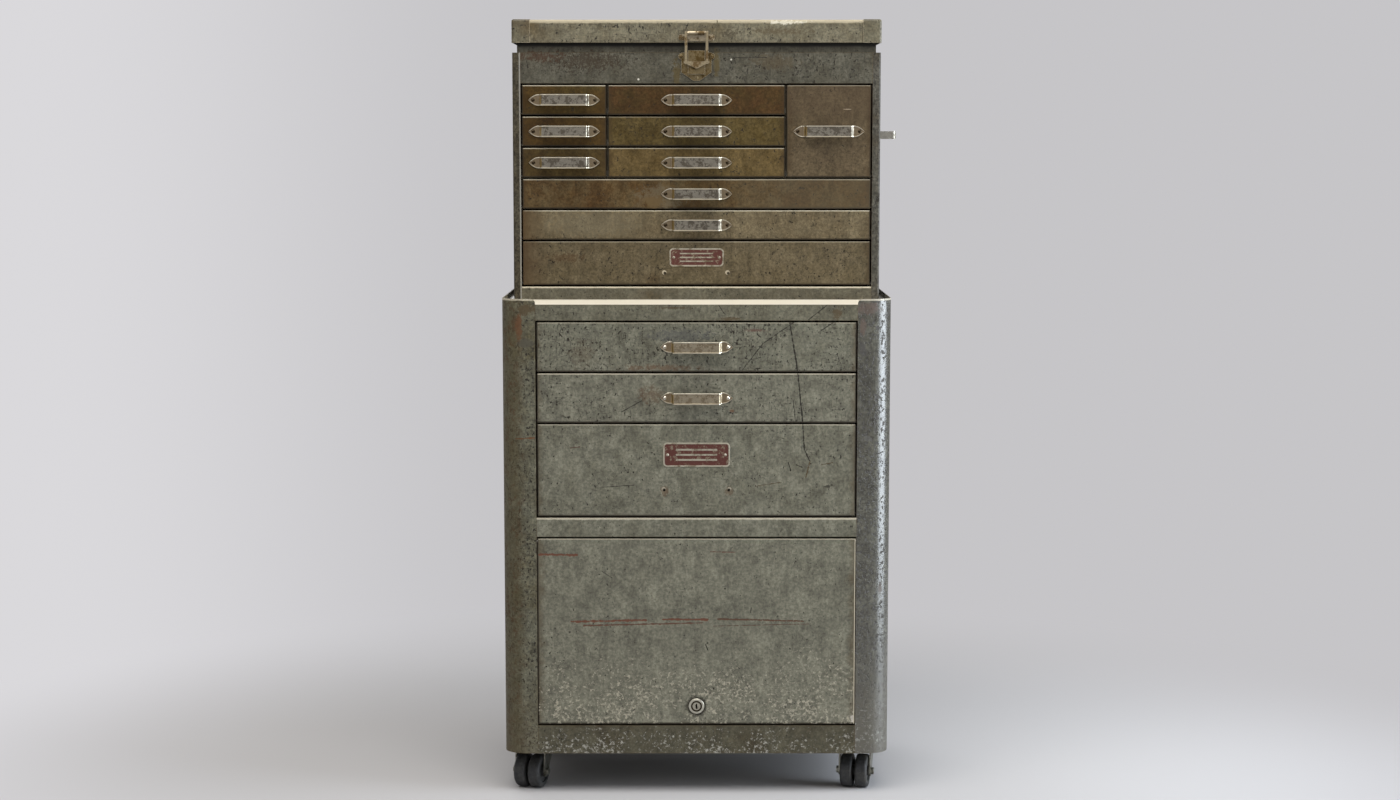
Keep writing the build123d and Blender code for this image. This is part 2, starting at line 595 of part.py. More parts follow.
def drawer(name, x0, x1, z0, z1, face_y, length):
    """Folded front with a return all round, spot welded to an open-topped box."""
    sheet = DRAWER_SHEET
    front = block(x0, x1, face_y, face_y + FRONT_RETURN, z0, z1)
    front -= block(x0 + sheet, x1 - sheet, face_y + sheet, face_y + 2 * FRONT_RETURN,
                   z0 + sheet, z1 - sheet)
    left, right = drawer_box_edges(x0, x1)
    foot = z0 + BOX_LIFT
    top = z1 - BOX_DROP
    box = block(left, right, face_y, face_y + length, foot, top)
    box -= block(left + sheet, right - sheet, face_y + sheet, face_y + length - sheet,
                 foot + sheet, top + sheet)
    body = front + box
    for x, z in pull_hole_places(name, x0, x1, z0, z1):
        body -= rod_y(face_y - sheet, face_y + 2 * sheet, x, z, SCREW_HOLE_R)
    return body


def strap_profile(strap, length, reach, sheet, bend):
    """Plan outline of a bent strap: two feet on the face and a raised middle."""
    half = strap / 2
    face = make_face(Polyline((-length / 2, 0), (-half + sheet, 0), (-half + sheet, -reach + sheet),
                              (half - sheet, -reach + sheet), (half - sheet, 0), (length / 2, 0),
                              (length / 2, -sheet), (half, -sheet), (half, -reach), (-half, -reach),
                              (-half, -sheet), (-length / 2, -sheet), (-length / 2, 0)))
    face = fillet(face.vertices().sort_by(Axis.Y)[:2], bend)
    inner = [v for v in face.vertices() if abs(v.Y + reach - sheet) < FIT]
    face = fillet(inner, bend - sheet / 2)
    foot = [v for v in face.vertices() if abs(abs(v.X) - half) < FIT and abs(v.Y + sheet) < FIT]
    return fillet(foot, sheet)


def pointed_outline(length, strap, height):
    """Front outline of a strap with ogive feet."""
    tip = length / 2
    shoulder = strap / 2
    bulge_x = shoulder + (tip - shoulder) * OGIVE_ALONG
    bulge_z = height / 2 * OGIVE_ACROSS
    top = Line((-shoulder, height / 2), (shoulder, height / 2))
    right_top = ThreePointArc((shoulder, height / 2), (bulge_x, bulge_z), (tip, 0))
    right_foot = ThreePointArc((tip, 0), (bulge_x, -bulge_z), (shoulder, -height / 2))
    foot = Line((shoulder, -height / 2), (-shoulder, -height / 2))
    left_foot = ThreePointArc((-shoulder, -height / 2), (-bulge_x, -bulge_z), (-tip, 0))
    left_top = ThreePointArc((-tip, 0), (-bulge_x, bulge_z), (-shoulder, height / 2))
    return make_face([top, right_top, right_foot, foot, left_foot, left_top])


def screw():
    """Round-headed screw, head on the -y side of its seat at y = 0."""
    head = Rot(90, 0, 0) * Cylinder(SCREW_HEAD_R, SCREW_HEAD_HEIGHT)
    head = Pos(0, -SCREW_HEAD_HEIGHT / 2, 0) * head
    rim = head.edges().filter_by(GeomType.CIRCLE).sort_by(Axis.Y)[:1]
    return fillet(rim, SCREW_HEAD_HEIGHT * HEAD_ROUNDING) + rod_y(0, SCREW_LENGTH, 0, 0, SCREW_R)


def bent_strap(length, strap, height, reach, sheet, bend, spacing):
    """A pull lying on the plane y = 0, its strap towards -y, with its two screws."""
    profile = strap_profile(strap, length, reach, sheet, bend)
    body = Pos(0, 0, -height / 2) * extrude(profile, height)
    outline = extrude(Plane.XZ * pointed_outline(length, strap, height), reach)
    body &= outline
    pieces = []
    for x in (-spacing / 2, spacing / 2):
        body -= rod_y(-reach, reach, x, 0, SCREW_R + FIT)
        pieces.append(Pos(x, -sheet, 0) * screw())
    return Compound([body] + pieces)


def pull():
    return bent_strap(PULL_LENGTH, PULL_STRAP, PULL_HEIGHT, PULL_REACH, PULL_SHEET, PULL_BEND_R,
                      PULL_SPACING)


def side_handle():
    """A heavier strap handle on the right side of the chest."""
    handle = bent_strap(HANDLE_LENGTH, HANDLE_STRAP, HANDLE_HEIGHT, HANDLE_REACH, HANDLE_SHEET,
                        HANDLE_BEND_R, HANDLE_SPACING)
    return Pos(CHEST_HALF, HANDLE_Y, HANDLE_Z) * Rot(0, 0, 90) * handle


# ---------------------------------------------------------------- chest


def chest_side(right):
    """Side sheet with flanges turned in at the front, the back and the shoulder."""
    wall = prism(chest_plan(0, CHEST_BACK - CHEST_SHEET)
                 - chest_plan(CHEST_SHEET, CHEST_BACK - CHEST_SHEET), PAN_Z, SHOULDER_Z)
    side = wall & block(CHEST_OPENING_HALF, CHEST_HALF, 0, CHEST_BACK, 0, LID_TOP)
    lid_side = prism(chest_plan(0, CHEST_BACK - CHEST_SHEET), SHOULDER_Z - CHEST_SHEET, SHOULDER_Z)
    side += lid_side & block(CHEST_HALF - NECK_INSET + FIT, CHEST_HALF, 0, CHEST_BACK, 0, LID_TOP)
    for offset in (-HANDLE_SPACING / 2, HANDLE_SPACING / 2):
        side -= rod_x(CHEST_HALF - 2 * CHEST_SHEET, CHEST_HALF + CHEST_SHEET, HANDLE_Y + offset,
                      HANDLE_Z, SCREW_HOLE_R)
    return side if right else mirrored(side)


def chest_back_panel():
    half = CHEST_HALF - CHEST_CORNER_R
    return block(-half, half, CHEST_BACK - CHEST_SHEET, CHEST_BACK, PAN_Z, SHOULDER_Z + NECK_HEIGHT)


def inside_chest(z):
    """A level sheet that fills the chest between its walls, behind the front flanges."""
    sheet = prism(chest_plan(CHEST_SHEET + FIT, CHEST_BACK - CHEST_SHEET), z, z + CHEST_SHEET)
    start = CHEST_FRONT + CHEST_SHEET + CHEST_CORNER_R
    return sheet & block(-CHEST_HALF, CHEST_HALF, start, CHEST_INNER_BACK, 0, LID_TOP)


def chest_bottom_pan():
    """Floor sheet in one with the bottom rail below the deep drawer."""
    rail_half = CHEST_OPENING_HALF - FIT
    floor = inside_chest(PAN_Z)
    floor += block(-rail_half, rail_half, CHEST_FRONT, CHEST_INNER_BACK, PAN_Z, PAN_Z + CHEST_SHEET)
    rail = block(-rail_half, rail_half, CHEST_FRONT, CHEST_FRONT + CHEST_SHEET, PAN_Z, CHEST_RAIL_TOP)
    lip = block(-rail_half, rail_half, CHEST_FRONT, CHEST_FRONT + CHEST_RAIL_RETURN,
                CHEST_RAIL_TOP - CHEST_SHEET, CHEST_RAIL_TOP)
    return floor + rail + lip


def chest_till_pan():
    """Open till under the lid, its walls rising as the recessed neck, with the till front."""
    half = CHEST_HALF - NECK_INSET
    front = CHEST_FRONT + NECK_INSET
    tray = block(-half, half, front, CHEST_INNER_BACK, TILL_Z, NECK_TOP)
    tray -= block(-half + CHEST_SHEET, half - CHEST_SHEET, front + CHEST_SHEET,
                  CHEST_INNER_BACK - CHEST_SHEET, TILL_Z + CHEST_SHEET, LID_TOP)
    panel_half = CHEST_OPENING_HALF - FIT
    panel = block(-panel_half, panel_half, CHEST_FRONT, front, TILL_Z, SHOULDER_Z)
    panel -= block(-CHEST_HALF, CHEST_HALF, CHEST_FRONT + CHEST_SHEET, front,
                   TILL_Z + CHEST_SHEET, SHOULDER_Z - CHEST_SHEET)
    return tray + panel


def chest_partitions():
    """Level divider under the third row and the two uprights between the columns."""
    level = row_z(3) - (FRONT_GAP + CHEST_SHEET) / 2
    divider = inside_chest(level)
    start = CHEST_FRONT + CHEST_SHEET + CHEST_CORNER_R
    for x in (-PARTITION_X, PARTITION_X):
        divider += block(x - CHEST_SHEET / 2, x + CHEST_SHEET / 2, start, CHEST_INNER_BACK, level, TILL_Z)
    return divider


def chest_drawer_walls(x0, x1):
    """Faces of the side or partition left and right of a chest drawer."""
    left = -CHEST_INNER_HALF
    right = CHEST_INNER_HALF
    if x0 > -CHEST_FRONT_HALF:
        left = PARTITION_X + CHEST_SHEET / 2 if x0 > 0 else -PARTITION_X + CHEST_SHEET / 2
    if x1 < CHEST_FRONT_HALF:
        right = PARTITION_X - CHEST_SHEET / 2 if x1 > 0 else -PARTITION_X - CHEST_SHEET / 2
    return left, right


def chest_drawer_runners():
    """A pair of angles for each chest drawer, on the sides and the partitions."""
    start = CHEST_FRONT + FRONT_RETURN + 2 * CHEST_SHEET
    end = CHEST_INNER_BACK - CHEST_CORNER_R
    runners = []
    for _, x0, x1, z0, _ in CHEST_DRAWERS:
        left_edge, right_edge = drawer_box_edges(x0, x1)
        left_wall, right_wall = chest_drawer_walls(x0, x1)
        z = z0 + BOX_LIFT - RUN_CLEARANCE
        for wall, edge in ((left_wall, left_edge), (right_wall, right_edge)):
            runners.append(runner(wall, edge, z, start, start, end, CHEST_SHEET))
    return Compound(runners)


# ---------------------------------------------------------------- lid and hinge


def lid_block(inset):
    """The lid's outer form moved in by inset, with soft upper edges."""
    form = prism(chest_plan(inset), LID_Z, LID_TOP - inset)
    top_edges = form.faces().sort_by(Axis.Z)[-1].edges()
    return fillet(top_edges, max(LID_EDGE_R - inset, SMALLEST_R))


def lid_shell():
    """A drawn lid: flat top with a skirt all round."""
    return lid_block(0) - lid_block(CHEST_SHEET)


def lid_corner_caps():
    """A thin metal corner over each upper corner of the lid."""
    cap = lid_block(-FIT - CAP_SHEET) - lid_block(-FIT)
    hinge_half = HINGE_LENGTH / 2 + CAP_TO_HINGE
    hinge_top = HINGE_Z + KNUCKLE_R + SWIVEL_CLEARANCE + HINGE_LEAF + CAP_TO_HINGE
    cap -= block(-hinge_half, hinge_half, CHEST_BACK, 2 * CHEST_BACK, 0, hinge_top)
    edge = CHEST_HALF - CAP_WIDTH
    corners = []
    for x0, x1 in ((-CHEST_WIDTH, -edge), (edge, CHEST_WIDTH)):
        for y0, y1 in ((0, CHEST_FRONT + CAP_WIDTH), (CHEST_BACK - CAP_WIDTH, 2 * CHEST_BACK)):
            corners.append(cap & block(x0, x1, y0, y1, 0, 2 * LID_TOP))
    return Compound(corners)


def hinge_leaf(upper):
    """Half of the long hinge: a strip and every second knuckle."""
    pitch = HINGE_LENGTH / HINGE_KNUCKLES
    half = HINGE_LENGTH / 2
    gap = KNUCKLE_R + SWIVEL_CLEARANCE
    y0 = CHEST_BACK
    y1 = CHEST_BACK + HINGE_SHEET
    if upper:
        z0, z1 = HINGE_Z + gap, HINGE_Z + gap + HINGE_LEAF
    else:
        z0, z1 = HINGE_Z - gap - HINGE_LEAF, HINGE_Z - gap
    leaf = block(-half, half, y0, y1, z0, z1)
    for index in range(0 if upper else 1, HINGE_KNUCKLES, 2):
        x0 = -half + index * pitch + SWIVEL_CLEARANCE / 2
        x1 = x0 + pitch - SWIVEL_CLEARANCE
        leaf += rod_x(x0, x1, HINGE_Y, HINGE_Z, KNUCKLE_R)
        leaf += block(x0, x1, y0, y1, min(HINGE_Z, z1), max(HINGE_Z, z0))
        leaf -= rod_x(x0, x1, HINGE_Y, HINGE_Z, HINGE_PIN_R + PIVOT_CLEARANCE)
    return leaf


def chest_hinge_leaf():
    """Lower leaf on the chest's back, with the long pin."""
    pin = rod_x(-HINGE_LENGTH / 2, HINGE_LENGTH / 2, HINGE_Y, HINGE_Z, HINGE_PIN_R)
    return Compound([hinge_leaf(False), pin])


# ---------------------------------------------------------------- latch


def rivet(x, z, seat_y):
    """Domed rivet head standing on a plate at seat_y."""
    head = rod_y(seat_y - LATCH_RIVET_HEIGHT, seat_y, x, z, LATCH_RIVET_R)
    rim = head.edges().filter_by(GeomType.CIRCLE).sort_by(Axis.Y)[:1]
    return fillet(rim, LATCH_RIVET_HEIGHT * HEAD_ROUNDING)


def plate_xz(face, y0, y1):
    """An outline drawn in x and z, made into a plate between y0 and y1."""
    return Pos(0, y1, 0) * extrude(Plane.XZ * face, y1 - y0)


def latch_lid_plate():
    """Plate with two riveted ears on the lid, its upper edge curled round the hasp's pin bar."""
    foot = LID_Z + LID_PLATE_FOOT
    ear_z = foot + LATCH_EAR_R + LATCH_EAR_MARGIN
    outline = Pos(0, foot + LID_PLATE_HEIGHT / 2) * Rectangle(LID_PLATE_WIDTH, LID_PLATE_HEIGHT)
    outline += Pos(0, ear_z) * SlotCenterToCenter(LATCH_EAR_SPACING, 2 * LATCH_EAR_R)
    seat = CHEST_FRONT - LATCH_SHEET
    plate = plate_xz(outline, seat, CHEST_FRONT)
    curl_half = LATCH_CURL_LENGTH / 2
    curl_r = LATCH_PIN_R + PIVOT_CLEARANCE + LATCH_CURL_SHEET
    plate += block(-curl_half, curl_half, LATCH_PIN_Y, seat, LATCH_PIN_Z + curl_r - LATCH_CURL_SHEET,
                   LATCH_PIN_Z + curl_r)
    plate += rod_x(-curl_half, curl_half, LATCH_PIN_Y, LATCH_PIN_Z, curl_r)
    plate -= rod_x(-HASP_WIDTH, HASP_WIDTH, LATCH_PIN_Y, LATCH_PIN_Z, LATCH_PIN_R + PIVOT_CLEARANCE)
    rivets = [rivet(sign * LATCH_EAR_SPACING / 2, ear_z, seat) for sign in (-1, 1)]
    return Compound([plate] + rivets)


def latch_hasp():
    """Rectangular loop hung on its round upper bar, with a pointed thumb lip at its foot."""
    half = HASP_WIDTH / 2
    bar = HASP_BAR
    top = LATCH_PIN_Z + LATCH_PIN_R
    foot = LATCH_PIN_Z - HASP_DROP
    y1 = LATCH_PIN_Y
    y0 = y1 - HASP_SHEET
    frame = block(-half, -half + bar, y0, y1, foot, top) + block(half - bar, half, y0, y1, foot, top)
    frame += block(-half, half, y0, y1, foot, foot + bar)
    frame += rod_x(-half, half, LATCH_PIN_Y, LATCH_PIN_Z, LATCH_PIN_R)
    edge = half + HASP_LIP_OVERHANG
    lip = make_face(Polyline((-edge, foot + bar), (edge, foot + bar), (edge, foot + bar / 2),
                             (0, foot - HASP_LIP), (-edge, foot + bar / 2), (-edge, foot + bar)))
    return frame + plate_xz(lip, y0 - HASP_SHEET / 2, y0)


def latch_base_plate():
    """Shield-shaped plate on the till front with the raised keeper, held by three rivets."""
    top = SHOULDER_Z - FIT
    foot = top - BASE_PLATE_HEIGHT
    half = BASE_PLATE_WIDTH / 2
    tip_half = LATCH_EAR_R
    waist = foot + BASE_PLATE_TAPER
    outline = make_face(Polyline((-half, top), (half, top), (half, waist), (tip_half, foot),
                                 (-tip_half, foot), (-half, waist), (-half, top)))
    ear_z = top - LATCH_EAR_R - LATCH_EAR_MARGIN
    outline += Pos(0, ear_z) * SlotCenterToCenter(LATCH_EAR_SPACING, 2 * LATCH_EAR_R)
    seat = CHEST_FRONT - LATCH_SHEET
    plate = plate_xz(outline, seat, CHEST_FRONT)
    keeper_top = SHOULDER_Z + KEEPER_ABOVE_SHOULDER
    keeper_half = KEEPER_WIDTH / 2
    keeper_front = LATCH_PIN_Y + SWIVEL_CLEARANCE
    plate += block(-keeper_half, keeper_half, keeper_front, seat, keeper_top - KEEPER_HEIGHT, keeper_top)
    rivets = [rivet(-LATCH_EAR_SPACING / 2, ear_z, seat), rivet(LATCH_EAR_SPACING / 2, ear_z, seat),
              rivet(0, foot + LATCH_EAR_R, seat)]
    return Compound([plate] + rivets)


# ---------------------------------------------------------------- the assembly


def all_parts():
    """Every node's name and shape, in the working frame."""
    parts = {
        "cabinet_side_left": cabinet_side_left(),
        "cabinet_side_right": mirrored(cabinet_side_left()),
        "cabinet_back_panel": cabinet_back_panel(),
        "cabinet_top_pan": cabinet_top_pan(),
        "cabinet_top_rail": cabinet_top_rail(),
        "cabinet_middle_rail": cabinet_middle_rail(),
        "cabinet_base_pan": cabinet_base_pan(),
        "cabinet_drawer_runners": cabinet_drawer_runners(),
        "caster_plates": caster_plates(),
        "door_panel": door_panel(),
        "door_hinge_rod": door_hinge_rod(),
        "lock_body": lock_body(),
        "lock_plug": lock_plug(),
        "chest_side_left": chest_side(False),
        "chest_side_right": chest_side(True),
        "chest_back_panel": chest_back_panel(),
        "chest_bottom_pan": chest_bottom_pan(),
        "chest_till_pan": chest_till_pan(),
        "chest_partitions": chest_partitions(),
        "chest_drawer_runners": chest_drawer_runners(),
        "chest_hinge_leaf": chest_hinge_leaf(),
        "lid_shell": lid_shell(),
        "lid_corner_caps": lid_corner_caps(),
        "lid_hinge_leaf": hinge_leaf(True),
        "latch_lid_plate": latch_lid_plate(),
        "latch_hasp": latch_hasp(),
        "latch_base_plate": latch_base_plate(),
        "side_handle": side_handle(),
    }
    for name, x, y, turn in caster_places():
        parts[f"caster_fork_{name}"] = caster_frame(x, y, turn) * caster_fork()
        parts[f"caster_wheels_{name}"] = caster_frame(x, y, turn) * caster_wheels()
    rows = [(CHEST_DRAWERS, CHEST_FRONT, CHEST_DRAWER_LENGTH), (CABINET_DRAWERS, 0, CABINET_DRAWER_LENGTH)]
    for drawers, face_y, length in rows:
        for name, x0, x1, z0, z1 in drawers:
            parts[name] = drawer(name, x0, x1, z0, z1, face_y, length)
            if name not in DRAWERS_WITHOUT_PULL:
                place = Pos((x0 + x1) / 2, face_y, (z0 + z1) / 2)
                parts[name.replace("drawer", "pull")] = place * pull()
    return parts


# The footprint runs from the cabinet pulls to the back or the lid hinge, and
# from the cabinet's left side to the side handle.
ORIGIN_X = (CHEST_HALF + HANDLE_REACH - CABINET_HALF) / 2
ORIGIN_Y = (max(CABINET_DEPTH, HINGE_Y + KNUCKLE_R) - PULL_REACH) / 2


def write_parts():
    os.makedirs("parts", exist_ok=True)
    for name, shape in all_parts().items():
        export_step(Pos(-ORIGIN_X, -ORIGIN_Y, 0) * shape, f"parts/{name}.step")


write_parts()
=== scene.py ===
import math

import bpy
import numpy as np
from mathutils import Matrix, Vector


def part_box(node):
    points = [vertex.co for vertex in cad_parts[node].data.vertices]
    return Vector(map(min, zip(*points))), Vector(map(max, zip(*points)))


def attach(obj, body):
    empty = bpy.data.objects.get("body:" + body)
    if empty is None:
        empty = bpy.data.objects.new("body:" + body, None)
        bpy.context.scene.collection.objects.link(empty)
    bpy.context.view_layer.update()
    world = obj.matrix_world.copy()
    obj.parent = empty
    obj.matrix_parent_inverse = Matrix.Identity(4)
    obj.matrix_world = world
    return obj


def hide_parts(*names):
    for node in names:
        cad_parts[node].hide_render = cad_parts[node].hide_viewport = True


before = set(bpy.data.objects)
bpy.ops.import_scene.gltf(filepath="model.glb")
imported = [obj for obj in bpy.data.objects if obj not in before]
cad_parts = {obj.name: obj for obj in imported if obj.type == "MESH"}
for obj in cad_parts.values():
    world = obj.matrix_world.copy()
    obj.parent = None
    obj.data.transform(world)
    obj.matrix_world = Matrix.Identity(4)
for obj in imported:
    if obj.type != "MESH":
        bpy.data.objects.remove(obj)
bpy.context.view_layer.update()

# ---------------------------- the cabinet's side sheets
# Each side of the roller cabinet is one steel sheet, rolled round the front corner into a flat stile. It is
# sprayed with grey-green enamel that dried in a fine hammered grain; the left post has gone olive and rusty,
# its rounded outer corner darker olive as stain and as painted shade, and the right one is cleaner and
# bluish. Each post's top edge is a painted highlight line.


class Finish:
    """One material or shared effect while it is laid: each call adds a node and gives its output."""

    def __init__(self, tree, here=None):
        self.tree = tree
        self.here = here

    def node(self, kind, fed, out=0, **settings):
        """A node with its settings, its inputs fed with numbers, colours or other outputs."""
        made = self.tree.nodes.new("ShaderNode" + kind)
        for name, value in settings.items():
            setattr(made, name, value)
        self.feed(made, fed)
        return made.outputs[out]

    def effect(self, tree, **fed):
        """A shared effect laid at the same place; gives all its outputs."""
        made = self.tree.nodes.new("ShaderNodeGroup")
        made.node_tree = tree
        self.feed(made, {"Place": self.here, **fed})
        return made.outputs

    def feed(self, made, fed):
        """Each named input gets another node's output, a colour or a number."""
        for socket, value in fed.items():
            entry = made.inputs[socket]
            if isinstance(value, bpy.types.NodeSocket):
                self.send(value, entry)
            elif entry.type == "RGBA":
                entry.default_value = (*value, 1.0)
            else:
                entry.default_value = value

    def send(self, value, entry):
        """One output wired to one input."""
        self.tree.links.new(value, entry)

    def place(self):
        """The point on the surface, in metres in the object's own frame."""
        return self.node("TexCoord", {}, out="Object")

    def parts(self, vector):
        """The x, y and z of a vector."""
        x = self.node("SeparateXYZ", {0: vector})
        return x.node.outputs

    def calc(self, operation, a, b=0.0, c=0.0):
        """One step of arithmetic on numbers."""
        return self.node("Math", {0: a, 1: b, 2: c}, operation=operation)

    def plus(self, a, b):
        """The sum of two numbers."""
        return self.calc("ADD", a, b)

    def minus(self, a, b):
        """The first number less the second."""
        return self.calc("SUBTRACT", a, b)

    def times(self, a, b):
        """The product of two numbers."""
        return self.calc("MULTIPLY", a, b)

    def span(self, value, low, high):
        """A number from 0 to 1 stretched so that it runs from low to high."""
        return self.calc("MULTIPLY_ADD", value, high - low, low)

    def vector(self, operation, a, b=(0.0, 0.0, 0.0), out=0):
        """One step of arithmetic on vectors."""
        return self.node("VectorMath", {0: a, 1: b}, out=out, operation=operation)

    def fade(self, value, low, high):
        """0 at low, 1 at high, and a smooth step between them."""
        return self.node("MapRange", {0: value, 1: low, 2: high}, interpolation_type="SMOOTHSTEP")

    def mix(self, share, a, b, how="MIX"):
        """Colour a covered by colour b in that share."""
        return self.node("Mix", {0: share, 6: a, 7: b}, out=2, data_type="RGBA", blend_type=how)

    def blend(self, share, a, b):
        """Number a turned into number b in that share."""
        return self.node("Mix", {0: share, 2: a, 3: b}, data_type="FLOAT")

    def clouds(self, size, detail=3.0, rough=0.6, stretch=(1.0, 1.0, 1.0)):
        """Cloudy noise, from 0 to 1 about a half, whose patches are about that size in metres."""
        pulled = self.vector("MULTIPLY", self.here, stretch)
        return self.node("TexNoise", {"Vector": pulled, "Scale": 1 / size, "Detail": detail,
                                      "Roughness": rough})


def new_effect(name, takes, gives):
    """An empty shared effect, which takes a Place too: its Finish, its inputs and its outputs."""
    tree = bpy.data.node_groups.new(name, "ShaderNodeTree")
    for label, kind in {"Place": "Vector", **takes}.items():
        tree.interface.new_socket(label, in_out="INPUT", socket_type="NodeSocket" + kind)
    for label, kind in gives.items():
        tree.interface.new_socket(label, in_out="OUTPUT", socket_type="NodeSocket" + kind)
    taken = tree.nodes.new("NodeGroupInput").outputs
    given = tree.nodes.new("NodeGroupOutput").inputs
    return Finish(tree, taken["Place"]), taken, given


def lay_enamel():
    """Old enamel: two sizes of noise shift the paint to its deep tone and its stain, a finer one
    is the hammered grain, its rare high spots in some patches are pits and flakes, and noise
    pulled out along z or x leaves thin upright and level nicks."""
    f, takes, gives = new_effect(
        "enamel",
        {"Paint": "Color", "Deep": "Color", "Stain": "Color", "Pit": "Color", "Stained": "Float",
         "Pitted": "Float", "Grain": "Float"},
        {"Color": "Color", "Height": "Float", "Bare": "Float"})
    mottle = f.clouds(0.030, 5.0, 0.72)
    colour = f.mix(f.fade(mottle, 0.34, 0.66), takes["Paint"], takes["Deep"])
    cover = f.clouds(0.110, 6.0, 0.66)
    cover = f.plus(cover, f.minus(takes["Stained"], 0.5))
    colour = f.mix(f.fade(cover, 0.42, 0.66), colour, takes["Stain"])
    wiped = f.clouds(0.009, 2.0, 0.6, (1.0, 1.0, 0.07))
    smudge = f.clouds(0.016, 4.0, 0.75, (1.0, 1.0, 0.6))
    shade = f.span(wiped, 0.85, 1.15)
    shade = f.times(shade, f.span(f.fade(smudge, 0.34, 0.66), 0.83, 1.17))
    grain = f.clouds(0.0050, 3.0, 0.75)
    depth = f.times(f.minus(f.fade(grain, 0.30, 0.70), 0.5), takes["Grain"])
    shade = f.times(shade, f.plus(depth, 1.0))
    colour = f.mix(1.0, colour, shade, "MULTIPLY")
    patches = f.clouds(0.070, 4.0, 0.7)
    holes = f.clouds(0.0052, 3.0, 0.60, (1.0, 1.0, 0.8))
    holes = f.plus(holes, f.span(patches, -0.13, 0.13))
    pit = f.fade(f.plus(holes, f.times(takes["Pitted"], 0.20)), 0.690, 0.725)
    flakes = f.clouds(0.020, 6.0, 0.82)
    flakes = f.plus(flakes, f.span(patches, -0.10, 0.10))
    flake = f.fade(f.plus(flakes, f.times(takes["Pitted"], 0.10)), 0.735, 0.755)
    bare = f.calc("MAXIMUM", pit, f.times(flake, 0.8))
    upright = f.clouds(0.0021, 2.0, 0.7, (1.0, 1.0, 0.15))
    level = f.clouds(0.0021, 2.0, 0.7, (0.15, 1.0, 1.0))
    nick = f.fade(f.calc("MAXIMUM", upright, level), 0.59, 0.66)
    nick = f.times(nick, f.node("Clamp", {0: f.times(takes["Pitted"], 1.7)}))
    nick = f.times(nick, f.fade(patches, 0.34, 0.58))
    f.send(f.mix(f.calc("MAXIMUM", bare, nick), colour, takes["Pit"]), gives["Color"])
    f.send(f.minus(f.times(grain, 0.35), bare), gives["Height"])
    f.send(bare, gives["Bare"])
    return f.tree


def lay_edge_wear():
    """Wear along edges: a normal rounded over Reach leaves the flat normal there, and the turn
    between the two, broken up by noise, is the mask."""
    f, takes, gives = new_effect("edge_wear", {"Reach": "Float", "Wear": "Float"},
                                 {"Mask": "Float"})
    rounded = f.node("Bevel", {"Radius": takes["Reach"]}, samples=4)
    flat = f.node("NewGeometry", {}, out="Normal")
    turn = f.minus(1.0, f.vector("DOT_PRODUCT", rounded, flat, out="Value"))
    noise = f.clouds(0.012, 4.0, 0.75)
    turn = f.plus(turn, f.span(noise, -0.15, 0.15))
    worn = f.plus(turn, f.span(takes["Wear"], -0.12, 0.04))
    f.send(f.fade(worn, 0.10, 0.22), gives["Mask"])
    return f.tree


def lay_scratch():
    """A scratch: the distance, seen from the front, to the line between two points, made ragged
    by noise and turned into a mask of that breadth."""
    f, takes, gives = new_effect("scratch", {"From": "Vector", "To": "Vector", "Breadth": "Float"},
                                 {"Mask": "Float"})
    seen = f.vector("MULTIPLY", f.here, (1.0, 0.0, 1.0))
    along = f.vector("SUBTRACT", takes["To"], takes["From"])
    away = f.vector("SUBTRACT", seen, takes["From"])
    share = f.calc("DIVIDE", f.vector("DOT_PRODUCT", away, along, out="Value"),
                   f.vector("DOT_PRODUCT", along, along, out="Value"))
    share = f.node("Clamp", {0: share})
    nearest = f.node("VectorMath", {0: along, "Scale": share}, operation="SCALE")
    gap = f.vector("LENGTH", f.vector("SUBTRACT", away, nearest), out="Value")
    noise = f.clouds(0.006, 3.0, 0.7)
    gap = f.plus(gap, f.times(takes["Breadth"], f.span(noise, -1.5, 1.5)))
    gap = f.calc("DIVIDE", gap, takes["Breadth"])
    f.send(f.fade(gap, 0.95, 0.45), gives["Mask"])
    return f.tree


def lay_blot():
    """A ragged patch: the distance from its centre in shares of its reach, seen from the front,
    with noise added."""
    f, takes, gives = new_effect("blot", {"Centre": "Vector", "Reach": "Vector", "Ragged": "Float"},
                                 {"Mask": "Float"})
    away = f.vector("SUBTRACT", f.here, takes["Centre"])
    away = f.vector("MULTIPLY", f.vector("DIVIDE", away, takes["Reach"]), (1.0, 0.0, 1.0))
    gap = f.vector("LENGTH", away, out="Value")
    noise = f.clouds(0.010, 6.0, 0.9)
    gap = f.plus(gap, f.times(takes["Ragged"], f.span(noise, -4.0, 4.0)))
    broken = f.fade(f.clouds(0.0035, 4.0, 0.8), 0.30, 0.52)
    broken = f.blend(takes["Ragged"], 1.0, broken)
    f.send(f.times(f.fade(gap, 1.0, 0.70), broken), gives["Mask"])
    return f.tree


def lay_splashes():
    """Pale dried splashes: fine specks, thicker the lower they lie under Top, in patches."""
    f, takes, gives = new_effect("splashes", {"Top": "Float", "Depth": "Float", "Wet": "Float"},
                                 {"Mask": "Float"})
    low = f.minus(takes["Top"], f.parts(f.here)[2])
    low = f.calc("DIVIDE", low, takes["Depth"])
    patches = f.clouds(0.060, 4.0, 0.7)
    amount = f.times(f.fade(low, 0.0, 1.0), f.fade(patches, 0.30, 0.66))
    specks = f.clouds(0.0064, 4.0, 0.8)
    specks = f.plus(specks, f.span(amount, -0.12, 0.0))
    specks = f.plus(specks, takes["Wet"])
    mask = f.times(f.fade(specks, 0.50, 0.60), f.fade(amount, 0.0, 0.25))
    f.send(mask, gives["Mask"])
    return f.tree


ENAMEL = lay_enamel()
EDGE_WEAR = lay_edge_wear()
SCRATCH = lay_scratch()
BLOT = lay_blot()
SPLASHES = lay_splashes()

